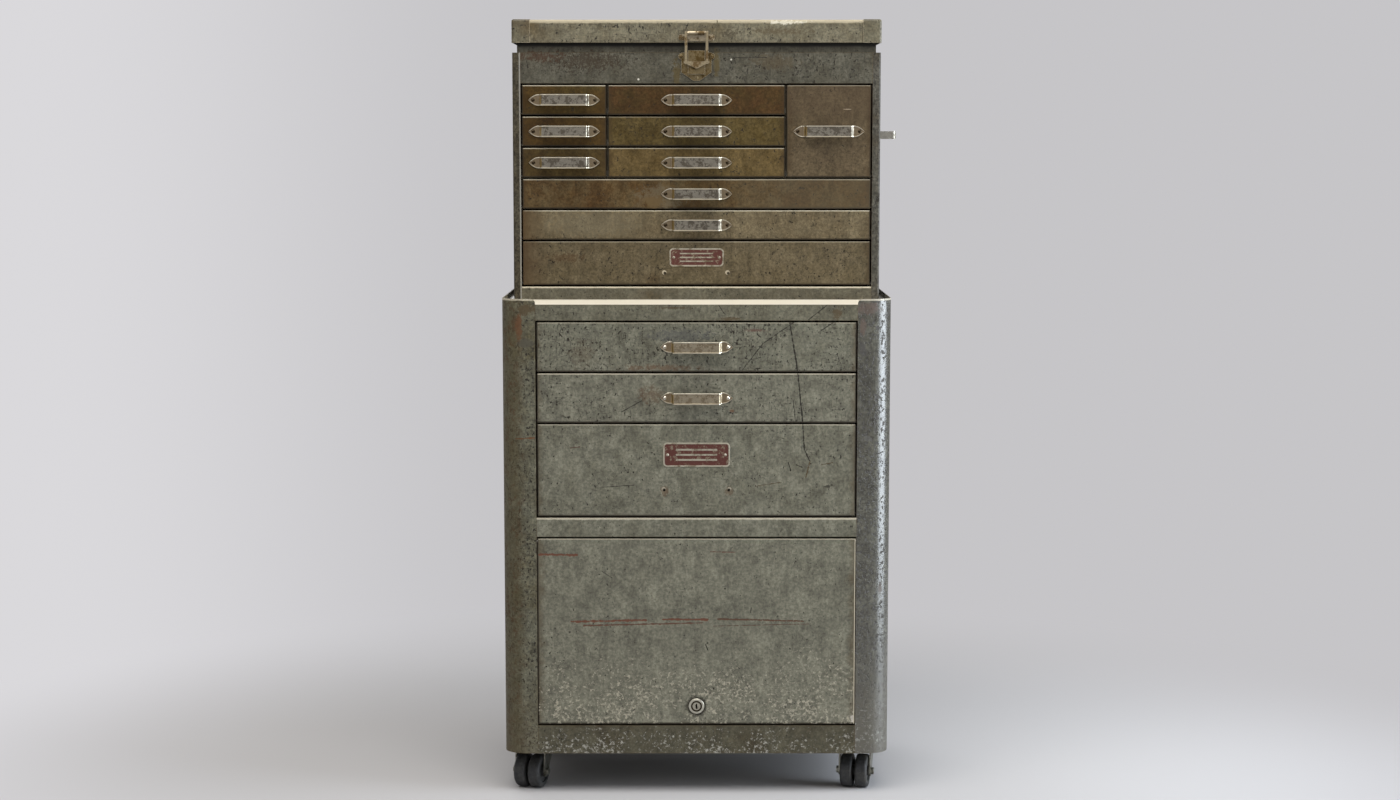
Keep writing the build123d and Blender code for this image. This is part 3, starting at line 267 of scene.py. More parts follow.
MIDDLE_X = sum(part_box("cabinet_top_rail"), Vector()).x / 2
PIT = (0.022, 0.018, 0.012)
RUST = (0.115, 0.052, 0.022)
BROWN = (0.072, 0.050, 0.024)
CREAM = (0.60, 0.55, 0.43)
SHADOW = (0.018, 0.015, 0.010)


def spot(x_mm, z_mm):
    """A point seen from the front: millimetres right of the middle and above the floor."""
    return (MIDDLE_X + x_mm / 1000, 0.0, z_mm / 1000)


class Coat(Finish):
    """An enamelled sheet's material; each call after the first lays one more effect over it."""

    def __init__(self, name, paint, deep, stain, stained=0.3, pitted=0.2, grain=0.55, gloss=0.42,
                 shine=0.3):
        self.start(name)
        enamel = self.effect(ENAMEL, Paint=paint, Deep=deep, Stain=stain, Pit=PIT,
                             Stained=stained, Pitted=pitted, Grain=grain)
        self.colour = enamel["Color"]
        self.height = enamel["Height"]
        self.rough = self.blend(enamel["Bare"], gloss, 0.75)
        self.metal = 0.0
        self.shine = shine

    def start(self, name):
        """An empty material, with the place on the surface and marks allowed everywhere."""
        self.material = bpy.data.materials.new(name)
        self.material.use_nodes = True
        self.material.node_tree.nodes.clear()
        super().__init__(self.material.node_tree)
        self.here = self.place()
        self.facing = 1.0

    def only_front(self, node, depth=0.004):
        """Marks laid after this stay within that depth of the node's foremost face."""
        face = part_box(node)[0].y
        self.facing = self.fade(self.parts(self.here)[1], face + depth, face + depth * 0.7)
        return self

    def over(self, mask, colour, rough=0.6, raised=0.0):
        """A colour laid where the mask is 1."""
        self.colour = self.mix(mask, self.colour, colour)
        self.rough = self.blend(mask, self.rough, rough)
        if raised:
            self.height = self.plus(self.height, self.times(mask, raised))
        return self

    def worn_edges(self, colour=BROWN, reach=0.003, wear=0.5, rough=0.6):
        """The paint rubbed off to this colour along the edges."""
        mask = self.effect(EDGE_WEAR, Reach=reach, Wear=wear)["Mask"]
        return self.over(mask, colour, rough)

    def scratch(self, start, end, breadth=0.0012, colour=SHADOW):
        """A thin line between two points seen from the front, cut a little into the paint."""
        mask = self.effect(SCRATCH, From=spot(*start), To=spot(*end), Breadth=breadth)["Mask"]
        return self.over(self.times(mask, self.facing), colour, 0.7, -0.5)

    def scratches(self, *marks):
        """Several scratches, each given as its start, its end, its breadth and, if not dark, its
        colour."""
        for mark in marks:
            self.scratch(*mark)

    def blot(self, centre, reach, colour=RUST, ragged=0.4, share=0.85):
        """A patch about a point seen from the front; its reach is in millimetres each way."""
        reach = (reach[0] / 1000, 1.0, reach[1] / 1000)
        mask = self.effect(BLOT, Centre=spot(*centre), Reach=reach, Ragged=ragged)["Mask"]
        mask = self.times(mask, self.facing)
        return self.over(self.times(mask, share), colour, 0.7)

    def splashes(self, top, depth, wet=0.02, colour=(0.36, 0.34, 0.28)):
        """Dried splashes that thicken over that depth below the top."""
        mask = self.effect(SPLASHES, Top=top, Depth=depth, Wet=wet)["Mask"]
        return self.over(mask, colour, 0.6)

    def across(self, axis, start, end, colour, share=1.0, size=0.02):
        """A colour that grows along x, y or z from start to end in metres, with a cloudy edge."""
        along = self.parts(self.here)[axis]
        noise = self.clouds(size, 4.0, 0.7)
        along = self.plus(along, self.span(noise, (start - end) / 2, (end - start) / 2))
        mask = self.times(self.fade(along, start, end), self.facing)
        return self.over(self.times(mask, share), colour, 0.55)

    def dress(self, *nodes, relief=0.0005):
        """Ends the material in a shader and gives it to these CAD nodes or pieces."""
        bump = self.node("Bump", {"Strength": 0.9, "Distance": relief, "Height": self.height})
        shader = self.node("BsdfPrincipled", {"Base Color": self.colour, "Roughness": self.rough,
                                              "Metallic": self.metal, "Normal": bump,
                                              "Specular IOR Level": self.shine})
        output = self.tree.nodes.new("ShaderNodeOutputMaterial")
        self.send(shader, output.inputs["Surface"])
        for node in nodes:
            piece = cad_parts.get(node) if isinstance(node, str) else node
            if not piece.material_slots:
                piece.data.materials.append(self.material)
            for held in piece.material_slots:
                held.material = self.material
        return self.material


GREY_GREEN = (0.172, 0.168, 0.128)
GREY_GREEN_DEEP = (0.118, 0.114, 0.084)
OLIVE = (0.082, 0.068, 0.032)
SIDE_IN_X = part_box("cabinet_side_left")[0].x
POST_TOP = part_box("cabinet_side_left")[1].z

post = Coat("cabinet_side_left_paint", (0.130, 0.127, 0.092), (0.092, 0.085, 0.056), OLIVE,
            0.43, 0.55, 0.8)
post.only_front("cabinet_side_left", 0.045)
# The rounded outer corner is painted darker olive: partly stain, partly painted shade on the side turned
# from the light.
post.across(0, SIDE_IN_X + 0.042, SIDE_IN_X + 0.022, OLIVE, 0.55, 0.006)
rusty = post.fade(post.clouds(0.016, 6.0, 0.9), 0.50, 0.60)
side_share = post.fade(post.parts(post.here)[0], SIDE_IN_X + 0.050, SIDE_IN_X + 0.020)
rusty = post.times(rusty, side_share)
post.over(post.times(rusty, 0.7), (0.070, 0.036, 0.016), 0.75)
post.across(2, 0.20, 0.10, (0.100, 0.080, 0.046), 0.35)
post.blot((-300, 809), (16, 9), (0.070, 0.064, 0.046), 0.12)
post.blot((-312, 840), (7, 26), RUST, 0.5)
post.blot((-300, 868), (18, 10), BROWN, 0.4)
post.scratch((-318, 640), (-286, 642), 0.0016, RUST)
# A pale line along the post's top edge: painted highlight.
post.across(2, POST_TOP - 0.0040, POST_TOP - 0.0020, CREAM, 0.75, 0.01)
post.worn_edges(BROWN, 0.0025, 0.45)
post.dress("cabinet_side_left")

post = Coat("cabinet_side_right_paint", (0.084, 0.082, 0.064), (0.052, 0.050, 0.038),
            (0.042, 0.037, 0.025), 0.34, 0.62, 0.9, 0.26, 1.0)
post.only_front("cabinet_side_right", 0.045)
post.blot((300, 870), (26, 12), (0.060, 0.034, 0.018), 0.35)
post.blot((292, 838), (6, 18), (0.060, 0.034, 0.018), 0.25)
post.blot((292, 800), (7, 16), SHADOW, 0.7)
post.blot((300, 640), (10, 6), (0.060, 0.058, 0.048), 0.6)
post.blot((326, 372), (4, 12), (0.055, 0.038, 0.022), 0.3)
post.scratch((318, 612), (330, 617), 0.0010, SHADOW)
post.across(2, 0.30, 0.10, (0.072, 0.064, 0.044), 0.8, 0.05)
post.splashes(0.24, 0.16, 0.0, (0.22, 0.22, 0.19))
# A pale line along the post's top edge: painted highlight.
post.across(2, POST_TOP - 0.0040, POST_TOP - 0.0020, CREAM, 0.75, 0.01)
post.worn_edges(BROWN, 0.0025, 0.40)
post.dress("cabinet_side_right", relief=0.0011)

# ---------------------------- the cabinet's rails and pans
# Folded channels join the sides: a rail under the top pan, a fixed rail over the door, and a base pan whose
# flange is the foot rail. The top pan's front strip is painted near white as a painted highlight on its lit
# top, and its edges are rubbed pale.

rail = Coat("cabinet_top_rail_paint", (0.148, 0.142, 0.104), (0.100, 0.094, 0.066),
            (0.080, 0.064, 0.038), 0.36, 0.30)
rail.only_front("cabinet_top_rail")
rail.blot((247, 862), (9, 10), BROWN, 0.5)
rail.blot((60, 852), (22, 3), BROWN, 0.5)
rail.blot((-40, 871), (30, 2), BROWN, 0.6)
rail.scratches(
    ((239, 884), (196, 850), 0.0009),
    ((36, 880), (48, 862), 0.0010))
rail.worn_edges(BROWN, 0.0030, 0.55)
rail.dress("cabinet_top_rail")

RAIL_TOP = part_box("cabinet_middle_rail")[1].z
rail = Coat("cabinet_middle_rail_paint", GREY_GREEN, GREY_GREEN_DEEP, (0.110, 0.100, 0.070),
            0.30, 0.20)
rail.only_front("cabinet_middle_rail")
# A pale line along the rail's top edge: painted highlight.
rail.across(2, RAIL_TOP - 0.0045, RAIL_TOP - 0.0015, CREAM, 0.8, 0.01)
rail.worn_edges(BROWN, 0.0025, 0.35)
rail.dress("cabinet_middle_rail")

rail = Coat("cabinet_base_paint", (0.084, 0.077, 0.050), (0.060, 0.053, 0.033),
            (0.048, 0.038, 0.020), 0.45, 0.15)
rail.splashes(0.145, 0.075, 0.03, (0.34, 0.33, 0.29))
rail.worn_edges(BROWN, 0.0030, 0.5)
rail.dress("cabinet_base_pan")

pan = Coat("cabinet_top_pan_paint", (0.175, 0.165, 0.125), (0.12, 0.11, 0.08),
           (0.10, 0.08, 0.05), 0.35, 0.25)
PAN_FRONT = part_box("cabinet_top_pan")[0].y
# The front strip of the pan's top is painted near white: a painted highlight where its top catches the
# light.
pan.across(1, PAN_FRONT + 0.175, PAN_FRONT + 0.150, (0.80, 0.74, 0.62), 0.92, 0.02)
pan.worn_edges(CREAM, 0.0025, 0.5, 0.4)
pan.dress("cabinet_top_pan")

sheet = Coat("cabinet_inside_paint", (0.135, 0.130, 0.098), (0.100, 0.094, 0.068), BROWN,
             0.35, 0.15)
sheet.worn_edges(BROWN, 0.003, 0.3)
sheet.dress("cabinet_back_panel")

# ---------------------------- runners, plates and the door rod
# Hidden work of the cabinet: plain steel runners pressed from strip, riveted under each
# drawer, the caster plates bolted under the pan, and the drawn rod that the door hangs on.


def lay_bare_steel():
    """Plain steel: a grey tone with brushed streaks along x, brown oxide clouds and fine pits."""
    f, takes, gives = new_effect(
        "bare_steel",
        {"Tone": "Color", "Oxide": "Color", "Rusted": "Float"},
        {"Color": "Color", "Roughness": "Float", "Height": "Float"})
    streak = f.clouds(0.0012, 2.0, 0.6, (0.12, 1.0, 1.0))
    cloud = f.clouds(0.020, 5.0, 0.75)
    cloud = f.plus(cloud, f.span(takes["Rusted"], -0.25, 0.25))
    oxide = f.fade(cloud, 0.46, 0.62)
    shade = f.span(streak, 0.75, 1.25)
    colour = f.mix(1.0, takes["Tone"], shade, "MULTIPLY")
    colour = f.mix(oxide, colour, takes["Oxide"])
    pits = f.fade(f.clouds(0.0022, 3.0, 0.8), 0.62, 0.70)
    f.send(f.mix(f.times(pits, 0.7), colour, (0.03, 0.022, 0.015)), gives["Color"])
    f.send(f.blend(oxide, f.span(streak, 0.25, 0.45), 0.62), gives["Roughness"])
    f.send(f.minus(f.times(streak, 0.2), pits), gives["Height"])
    return f.tree


BARE_STEEL = lay_bare_steel()


class Metal(Coat):
    """A bare or plated metal's material, which takes the same later effects as a coat of paint."""

    def __init__(self, name, tone, oxide=(0.06, 0.04, 0.025), rusted=0.4):
        self.start(name)
        steel = self.effect(BARE_STEEL, Tone=tone, Oxide=oxide, Rusted=rusted)
        self.colour = steel["Color"]
        self.height = steel["Height"]
        self.rough = steel["Roughness"]
        self.metal = 0.9
        self.shine = 0.5


STEEL_TONE = (0.42, 0.40, 0.36)
strip = Metal("runner_steel", STEEL_TONE)
strip.worn_edges((0.6, 0.57, 0.5), 0.002, 0.3, 0.3)
strip.dress("cabinet_drawer_runners", "chest_drawer_runners", relief=0.0003)
strip = Metal("plate_steel", (0.30, 0.29, 0.26), (0.06, 0.042, 0.028), 0.5)
strip.dress("caster_plates", "door_hinge_rod", relief=0.0003)

# ---------------------------- the cabinet's drawers and door
# Each drawer is one folded sheet with a flat front; the door is a shallow folded panel hung on a rod. Their
# upper edges carry a painted highlight line and their feet and ends thin lines of painted shade; the door's
# right edge has a painted highlight, and the door's foot is splashed.

EDGE_LINE = 0.0021


def front_coat(name, node, paint, deep, stain, stained, pitted, rim=0.75, grime=BROWN, grimed=0.5,
               foot=0.35, ends=0.012, shine=0.3, grain=0.55):
    """Paint for a drawer front: grime closes in from its ends and foot, the top edge is a painted highlight
    line, and thin lines of painted shade run along the foot and ends; the distances are measured from the
    node's own box."""
    low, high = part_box(node)
    coat = Coat(name, paint, deep, stain, stained, pitted, grain, shine=shine).only_front(node)
    x, _, z = coat.parts(coat.here)
    noise = coat.clouds(0.018, 4.0, 0.75)
    from_end = coat.calc("MINIMUM", coat.minus(x, low.x), coat.minus(high.x, x))
    from_foot = coat.minus(z, low.z)
    from_edge = coat.calc("MINIMUM", from_end, coat.plus(from_foot, ends * (1 - foot)))
    from_edge = coat.plus(from_edge, coat.span(noise, 1.2 * ends, -1.2 * ends))
    coat.over(coat.times(coat.fade(from_edge, ends, 0.0), grimed), grime, 0.6)
    # The pale line along the top edge, as strong as rim, is a painted highlight.
    from_top = coat.minus(high.z, z)
    ragged = coat.span(noise, -0.0005, 0.0005)
    line = coat.fade(coat.plus(from_top, ragged), EDGE_LINE, EDGE_LINE * 0.55)
    coat.over(coat.times(coat.times(line, rim), coat.facing), CREAM, 0.45)
    # Dark lines along the foot and the ends are painted shade of the gaps between the fronts.
    foot_shade_line = coat.fade(coat.plus(from_foot, ragged), EDGE_LINE * 1.3, EDGE_LINE * 0.7)
    end_shade_line = coat.fade(coat.plus(from_end, ragged), EDGE_LINE, EDGE_LINE * 0.5)
    coat.over(coat.times(coat.calc("MAXIMUM", foot_shade_line, end_shade_line), 0.9), SHADOW, 0.7)
    return coat


front = front_coat("cabinet_drawer_upper_paint", "cabinet_drawer_upper", (0.158, 0.155, 0.118),
                   GREY_GREEN_DEEP, (0.100, 0.092, 0.064), 0.30, 0.50, 0.35)
front.scratches(
    ((163, 848), (176, 771), 0.0015),
    ((176, 771), (178, 755), 0.0015),
    ((200, 866), (116, 808), 0.0012),
    ((116, 808), (79, 760), 0.0009),
    ((240, 846), (214, 828), 0.0010))
front.blot((104, 832), (20, 3), (0.105, 0.060, 0.045), 0.5)
front.blot((-200, 790), (22, 22), (0.105, 0.074, 0.044), 0.9, 0.3)
front.blot((-60, 766), (60, 5), (0.115, 0.075, 0.045), 0.9)
front.blot((-26, 822), (56, 12), (0.082, 0.084, 0.080), 0.5, 0.55)
front.worn_edges(BROWN, 0.0018, 0.25)
front.dress("cabinet_drawer_upper")

front = front_coat("cabinet_drawer_middle_paint", "cabinet_drawer_middle", GREY_GREEN,
                   (0.118, 0.114, 0.086), (0.098, 0.088, 0.060), 0.28, 0.38)
front.scratches(
    ((178, 757), (187, 668), 0.0015),
    ((170, 708), (174, 672), 0.0008))
front.blot((-82, 718), (20, 14), (0.110, 0.066, 0.036), 0.8, 0.55)
front.blot((62, 690), (4, 3), (0.130, 0.070, 0.040), 0.4)
front.scratches(
    ((-132, 688), (-96, 708), 0.0008),
    ((-82, 712), (-82, 680), 0.0007))
front.worn_edges(BROWN, 0.0018, 0.2)
front.dress("cabinet_drawer_middle")

front = front_coat("cabinet_drawer_deep_paint", "cabinet_drawer_deep", GREY_GREEN, GREY_GREEN_DEEP,
                   (0.105, 0.096, 0.068), 0.26, 0.28, 0.45)
front.scratches(
    ((187, 668), (190, 622), 0.0015),
    ((190, 622), (200, 600), 0.0015),
    ((200, 600), (193, 572), 0.0015, BROWN),
    ((176, 594), (186, 590), 0.0013),
    ((162, 598), (166, 584), 0.0011),
    ((104, 556), (150, 563), 0.0009, BROWN),
    ((220, 594), (240, 598), 0.0009, BROWN),
    ((-222, 624), (-206, 626), 0.0012, (0.085, 0.050, 0.035)),
    ((-170, 554), (-110, 558), 0.0008))
front.blot((232, 556), (6, 4), SHADOW, 0.7)
front.blot((-57, 547), (9, 9), (0.100, 0.060, 0.032), 0.4, 0.7)
front.blot((57, 547), (9, 9), (0.100, 0.066, 0.038), 0.4, 0.7)
for side in (-1, 1):
    front.blot((side * 58.0, 551.0), (4.2, 4.2), (0.40, 0.37, 0.29), 0.12, 0.6)
    front.blot((side * 57.15, 549.4), (3.2, 3.2), SHADOW, 0.06)
front.worn_edges(BROWN, 0.0018, 0.2)
front.dress("cabinet_drawer_deep")

DOOR_LOW, DOOR_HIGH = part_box("door_panel")
LOCK_Z = sum(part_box("lock_body"), Vector()).z * 500
front = front_coat("door_paint", "door_panel", (0.176, 0.172, 0.130), (0.126, 0.122, 0.092),
                   (0.105, 0.096, 0.068), 0.26, 0.22, 0.5, grimed=0.6, ends=0.016)
front.scratches(
    ((-278, 434), (-212, 433), 0.0026, (0.120, 0.050, 0.030)),
    ((25, 439), (70, 438), 0.0012, (0.110, 0.060, 0.040)),
    ((-222, 313), (-90, 316), 0.0024, (0.120, 0.050, 0.030)),
    ((-60, 317), (20, 317), 0.0024, (0.120, 0.050, 0.030)),
    ((-200, 306), (10, 311), 0.0018, (0.100, 0.052, 0.034)),
    ((38, 318), (190, 314), 0.0019, (0.085, 0.046, 0.028)),
    ((30, 305), (200, 309), 0.0009, (0.085, 0.052, 0.034)),
    ((16, 272), (20, 262), 0.0012),
    ((96, 330), (97, 338), 0.0010),
    ((-168, 404), (-150, 392), 0.0008))
front.splashes(DOOR_LOW.z + 0.180, 0.165, 0.025, (0.36, 0.335, 0.26))
front.blot((279, 138), (6, 7), (0.52, 0.48, 0.42), 0.4)
front.blot((0, LOCK_Z), (21, 21), SHADOW, 0.12, 0.9)
front.worn_edges(BROWN, 0.0018, 0.2)
# A pale line along the door's right edge: painted highlight.
from_side = front.minus(DOOR_HIGH.x, front.parts(front.here)[0])
right_edge_highlight = front.fade(from_side, 0.0022, 0.0012)
front.over(front.times(right_edge_highlight, front.facing), (0.42, 0.38, 0.29), 0.45)
front.dress("door_panel")

# ---------------------------- the lock
# A turned nickel-plated cylinder with a wide flat ring, held by a nut behind the door. The
# plug with the key slot turns in it and carries the cam.


class Plate(Metal):
    """Nickel plate worn thin: bright and yellowish, with brown clouds where it has gone."""

    def __init__(self, name, tone=(0.66, 0.62, 0.52), worn=0.35, oxide=(0.16, 0.12, 0.075)):
        super().__init__(name, tone, oxide, worn)
        self.metal = 1.0


plate = Plate("lock_plate", (0.52, 0.50, 0.42), 0.30)
from_plug = plate.vector("SUBTRACT", plate.here, spot(0, LOCK_Z))
from_plug = plate.vector("MULTIPLY", from_plug, (1.0, 0.0, 1.0))
from_plug = plate.vector("LENGTH", from_plug, out="Value")
plate.over(plate.fade(from_plug, 0.0105, 0.0095), (0.045, 0.036, 0.024), 0.6)
plate.dress("lock_body", relief=0.0002)
plate = Plate("lock_plug_plate", (0.42, 0.40, 0.33), 0.35)
# The key slot is a dark line of painted shade, laid as a scratch.
plate.scratch((0, LOCK_Z - 3.5), (0, LOCK_Z + 3.5), 0.0017)
plate.dress("lock_plug", relief=0.0002)

# ---------------------------- the casters
# Pressed steel forks on ball races under the four corners, each with two hard rubber wheels
# on one axle. The steel is dull and greasy, the rubber scuffed and dusty.

fork = Metal("caster_fork_steel", (0.20, 0.20, 0.17), (0.055, 0.045, 0.028), 0.45)
fork.worn_edges((0.42, 0.40, 0.34), 0.002, 0.4, 0.35)
CORNERS = ("front_left", "front_right", "rear_left", "rear_right")
fork.dress(*["caster_fork_" + corner for corner in CORNERS], relief=0.0003)

RUBBER = (0.030, 0.031, 0.033)
tread = Coat("caster_rubber", RUBBER, (0.050, 0.050, 0.048), (0.075, 0.064, 0.044),
             0.40, 0.0, 0.5, 0.55)
tread.worn_edges((0.11, 0.12, 0.12), 0.003, 0.3, 0.5)
tread.dress(*["caster_wheels_" + corner for corner in CORNERS], relief=0.0004)

# ---------------------------- the top chest's case
# Two side sheets with narrow front flanges, a folded bottom pan and a back are welded into
# a case. The till front closes it above the drawers, with a neck drawn in for the lid.

CASE = (0.105, 0.098, 0.070)
CASE_DEEP = (0.076, 0.068, 0.046)
CASE_STAIN = (0.060, 0.046, 0.024)
FLANGE_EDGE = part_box("chest_side_left")[1].x

side = Coat("chest_side_left_paint", (0.062, 0.055, 0.038), (0.046, 0.038, 0.024), CASE_STAIN,
            0.45, 0.35, 1.2, shine=0.2)
side.only_front("chest_side_left")
# A pale line along the flange's inner edge: painted highlight.
side.across(0, FLANGE_EDGE - 0.0030, FLANGE_EDGE - 0.0020, (0.30, 0.29, 0.26), 0.75, 0.03)
side.worn_edges(BROWN, 0.002, 0.35)
side.dress("chest_side_left")
side = Coat("chest_side_right_paint", (0.072, 0.068, 0.055), (0.054, 0.048, 0.036), CASE_STAIN,
            0.38, 0.35, 1.2, shine=0.2)
side.worn_edges(BROWN, 0.002, 0.35)
side.dress("chest_side_right")

till = Coat("chest_till_paint", (0.084, 0.079, 0.060), (0.058, 0.053, 0.038),
            (0.048, 0.040, 0.024), 0.26, 0.34, 0.6, shine=0.2)
LID_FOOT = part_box("lid_shell")[0].z
till.only_front("chest_till_pan", 0.016)
# Darker towards the lid's skirt and near black just under it: painted shadow of the lid.
till.across(2, LID_FOOT - 0.020, LID_FOOT - 0.002, (0.030, 0.027, 0.020), 0.80, 0.02)
till.across(2, LID_FOOT - 0.009, LID_FOOT - 0.004, (0.008, 0.007, 0.005), 0.95, 0.05)
till.blot((139, 1301), (40, 14), (0.070, 0.052, 0.028), 0.7, 0.6)
till.blot((-200, 1304), (70, 16), (0.034, 0.024, 0.014), 1.0)
till.blot((-280, 1312), (40, 9), (0.050, 0.028, 0.016), 0.9)
# The near-black patch behind the hasp is painted shade under the lid.
till.blot((0, 1322), (20, 17), (0.016, 0.012, 0.007), 0.15, 0.92)
till.blot((-36, 1283), (7, 24), (0.075, 0.055, 0.020), 0.6)
till.blot((36, 1300), (6, 26), (0.075, 0.055, 0.020), 0.6)
till.blot((-104, 1271), (2.2, 2.2), (0.60, 0.58, 0.50), 0.1)
till.blot((62, 1306), (1.8, 1.8), (0.60, 0.58, 0.50), 0.1)
till.scratches(
    ((65, 1309), (126, 1310), 0.0008, SHADOW),
    ((-138, 1316), (-112, 1316), 0.0009, SHADOW))
till.worn_edges(BROWN, 0.002, 0.4)
till.dress("chest_till_pan")

case = Coat("chest_case_paint", CASE, CASE_DEEP, CASE_STAIN, 0.40, 0.18)
BOTTOM_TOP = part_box("chest_bottom_pan")[1].z
case.only_front("chest_bottom_pan")
# A pale line along the pan's top edge: painted highlight.
case.across(2, BOTTOM_TOP - 0.0036, BOTTOM_TOP - 0.0016, CREAM, 0.85, 0.02)
case.worn_edges(BROWN, 0.002, 0.35)
case.dress("chest_bottom_pan")
case = Coat("chest_back_paint", CASE, CASE_DEEP, CASE_STAIN, 0.40, 0.18)
case.worn_edges(BROWN, 0.002, 0.35)
case.dress("chest_back_panel")
case = Coat("chest_inside_paint", (0.09, 0.082, 0.058), CASE_DEEP, CASE_STAIN, 0.30, 0.10)
case.dress("chest_partitions")

# ---------------------------- the top chest's drawers
# Ten folded drawers with flat fronts. Years of oily hands and lacquer have browned the paint:
# deep red-brown in the first row, olive below, and near grey-green in the wide drawers.

AMBER = (0.060, 0.035, 0.010)
# Each drawer's paint, deep tone, stain, stained share, pitted share, and the strength of the painted
# highlight along its top edge.
DRAWER_TONES = {
    "left_upper": (AMBER, (0.046, 0.026, 0.007), (0.062, 0.044, 0.014), 0.45, 0.15, 0.70),
    "left_middle": (AMBER, (0.047, 0.027, 0.008), (0.046, 0.024, 0.010), 0.45, 0.15, 0.60),
    "left_lower": ((0.064, 0.044, 0.016), (0.047, 0.030, 0.010), (0.040, 0.022, 0.008), 0.45, 0.15, 0.60),
    "centre_upper": ((0.057, 0.030, 0.011), (0.046, 0.029, 0.010), (0.056, 0.023, 0.009), 0.40, 0.10, 0.45),
    "centre_middle": ((0.078, 0.056, 0.021), (0.060, 0.041, 0.013), (0.048, 0.029, 0.009), 0.40, 0.22, 0.20),
    "centre_lower": ((0.105, 0.073, 0.030), (0.080, 0.054, 0.020), (0.064, 0.039, 0.013), 0.36, 0.20, 0.45),
    "tall": ((0.096, 0.072, 0.042), (0.074, 0.054, 0.032), (0.060, 0.044, 0.025), 0.35, 0.15, 0.45),
    "wide_upper": ((0.094, 0.068, 0.033), (0.072, 0.044, 0.017), (0.056, 0.030, 0.011), 0.50, 0.16, 0.60),
    "wide_lower": ((0.134, 0.108, 0.065), (0.106, 0.082, 0.047), (0.078, 0.054, 0.026), 0.34, 0.24, 0.75),
    "deep": ((0.114, 0.092, 0.056), (0.086, 0.068, 0.039), (0.058, 0.038, 0.018), 0.42, 0.24, 0.30),
}
for place, (paint, deep, stain, stained, pitted, rim) in DRAWER_TONES.items():
    node = "chest_drawer_" + place
    front = front_coat(node + "_paint", node, paint, deep, stain, stained, pitted, rim,
                       (0.040, 0.024, 0.010), 0.55, 0.5, 0.014, shine=0.12, grain=0.60)
    if place == "tall":
        front.across(2, 1.180, 1.225, (0.062, 0.042, 0.024), 0.45)
        front.scratch((264, 1218), (277, 1218), 0.0010, (0.30, 0.24, 0.17))
    if place == "wide_upper":
        front.across(0, MIDDLE_X + 0.020, MIDDLE_X + 0.180, (0.084, 0.070, 0.046), 0.38)
        front.blot((-62, 1060), (46, 24), (0.150, 0.125, 0.080), 0.6, 0.6)
        front.blot((-78, 1052), (22, 14), (0.110, 0.066, 0.022), 0.6, 0.6)
    if place == "wide_lower":
        front.blot((-185, 1012), (90, 24), (0.150, 0.130, 0.085), 0.6, 0.45)
        front.across(0, MIDDLE_X - 0.262, MIDDLE_X - 0.312, (0.075, 0.046, 0.020), 0.7)
    if place == "deep":
        front.blot((-235, 952), (30, 9), (0.070, 0.040, 0.018), 0.7, 0.6)
        for side in (-1, 1):
            front.blot((side * 57 - 1, 926), (4.6, 4.6), (0.46, 0.40, 0.30), 0.15)
            front.blot((side * 57.15, 924.6), (3.0, 3.0), SHADOW, 0.06)
        front.across(0, MIDDLE_X - 0.255, MIDDLE_X - 0.315, (0.070, 0.044, 0.022), 0.7)
    front.worn_edges(BROWN, 0.0016, 0.2)
    front.dress(node, relief=0.0003)

# ---------------------------- the pulls
# Bent from nickelled strip with a rolled rim and pointed feet, each held by two domed screws.
# The plate is worn: the rims shine, the middle is pitted and brown.

PULL_REACH = 0.022
PULL_SHEET = 0.0018
STRAP_HALF_LENGTH = 0.043
STRAP_HALF_HEIGHT = 0.010
OUTER_BEND = 0.005
FOOT_BEND = 0.003
FOOT_START = STRAP_HALF_LENGTH + FOOT_BEND
FOOT_END = 0.064
TIP_HALF_HEIGHT = 0.00002
RIM_BREADTH = 0.0017
RIM_RISE = 0.0007
RIM_ROUNDING = 0.0003
RIM_SLOPE = 0.0005
FLAT_POINTS = 14
FOOT_POINTS = 18
SCREW_AT = 0.05565
SCREW_HEAD = 0.0034
SCREW_RISE = 0.0016
SLOT_DEPTH = 0.0009
SLOT_SHARE = 0.16
SLOT_TURN = 35
ON_RIM, ON_BACK, ON_SCREW, IN_MIDDLE = 1.0, 0.5, 0.3, 0.0


def arc(centre, radius, start, end, steps):
    """Points on an arc from one angle to another, and the direction from the centre at each."""
    turn = np.radians(np.linspace(start, end, steps))
    out = np.stack([np.cos(turn), np.sin(turn)], axis=1)
    return np.array(centre) + radius * out, out


def level_run(start, end, height, count):
    """Points along a straight run at one height, and their normals, which point straight out."""
    along = np.linspace(start, end, count)
    return np.stack([along, np.full(count, height)], axis=1), np.tile([0.0, 1.0], (count, 1))


def pull_path():
    """One half of the outer skin, from the middle to a tip, as (along, out) points with their
    normals: a flat, a quarter bend down, a riser and a quarter bend the other way."""
    flat_end = STRAP_HALF_LENGTH - OUTER_BEND
    flat, flat_out = level_run(0.0, flat_end, PULL_REACH, FLAT_POINTS)
    bend, bend_out = arc((flat_end, PULL_REACH - OUTER_BEND), OUTER_BEND, 90, 0, 9)
    hollow, hollow_out = arc((FOOT_START, PULL_SHEET + FOOT_BEND), FOOT_BEND, 180, 270, 7)
    foot, foot_out = level_run(FOOT_START, FOOT_END, PULL_SHEET, FOOT_POINTS)
    points = np.concatenate([flat, bend[1:], hollow, foot[1:]])
    normals = np.concatenate([flat_out, bend_out[1:], -hollow_out, foot_out[1:]])
    return points, normals


def grid_faces(rows, columns):
    """The quads of a grid of points numbered row by row."""
    first = np.arange(rows - 1)[:, None] * columns + np.arange(columns - 1)[None, :]
    return np.stack([first, first + 1, first + columns + 1, first + columns], axis=-1).reshape(-1, 4)


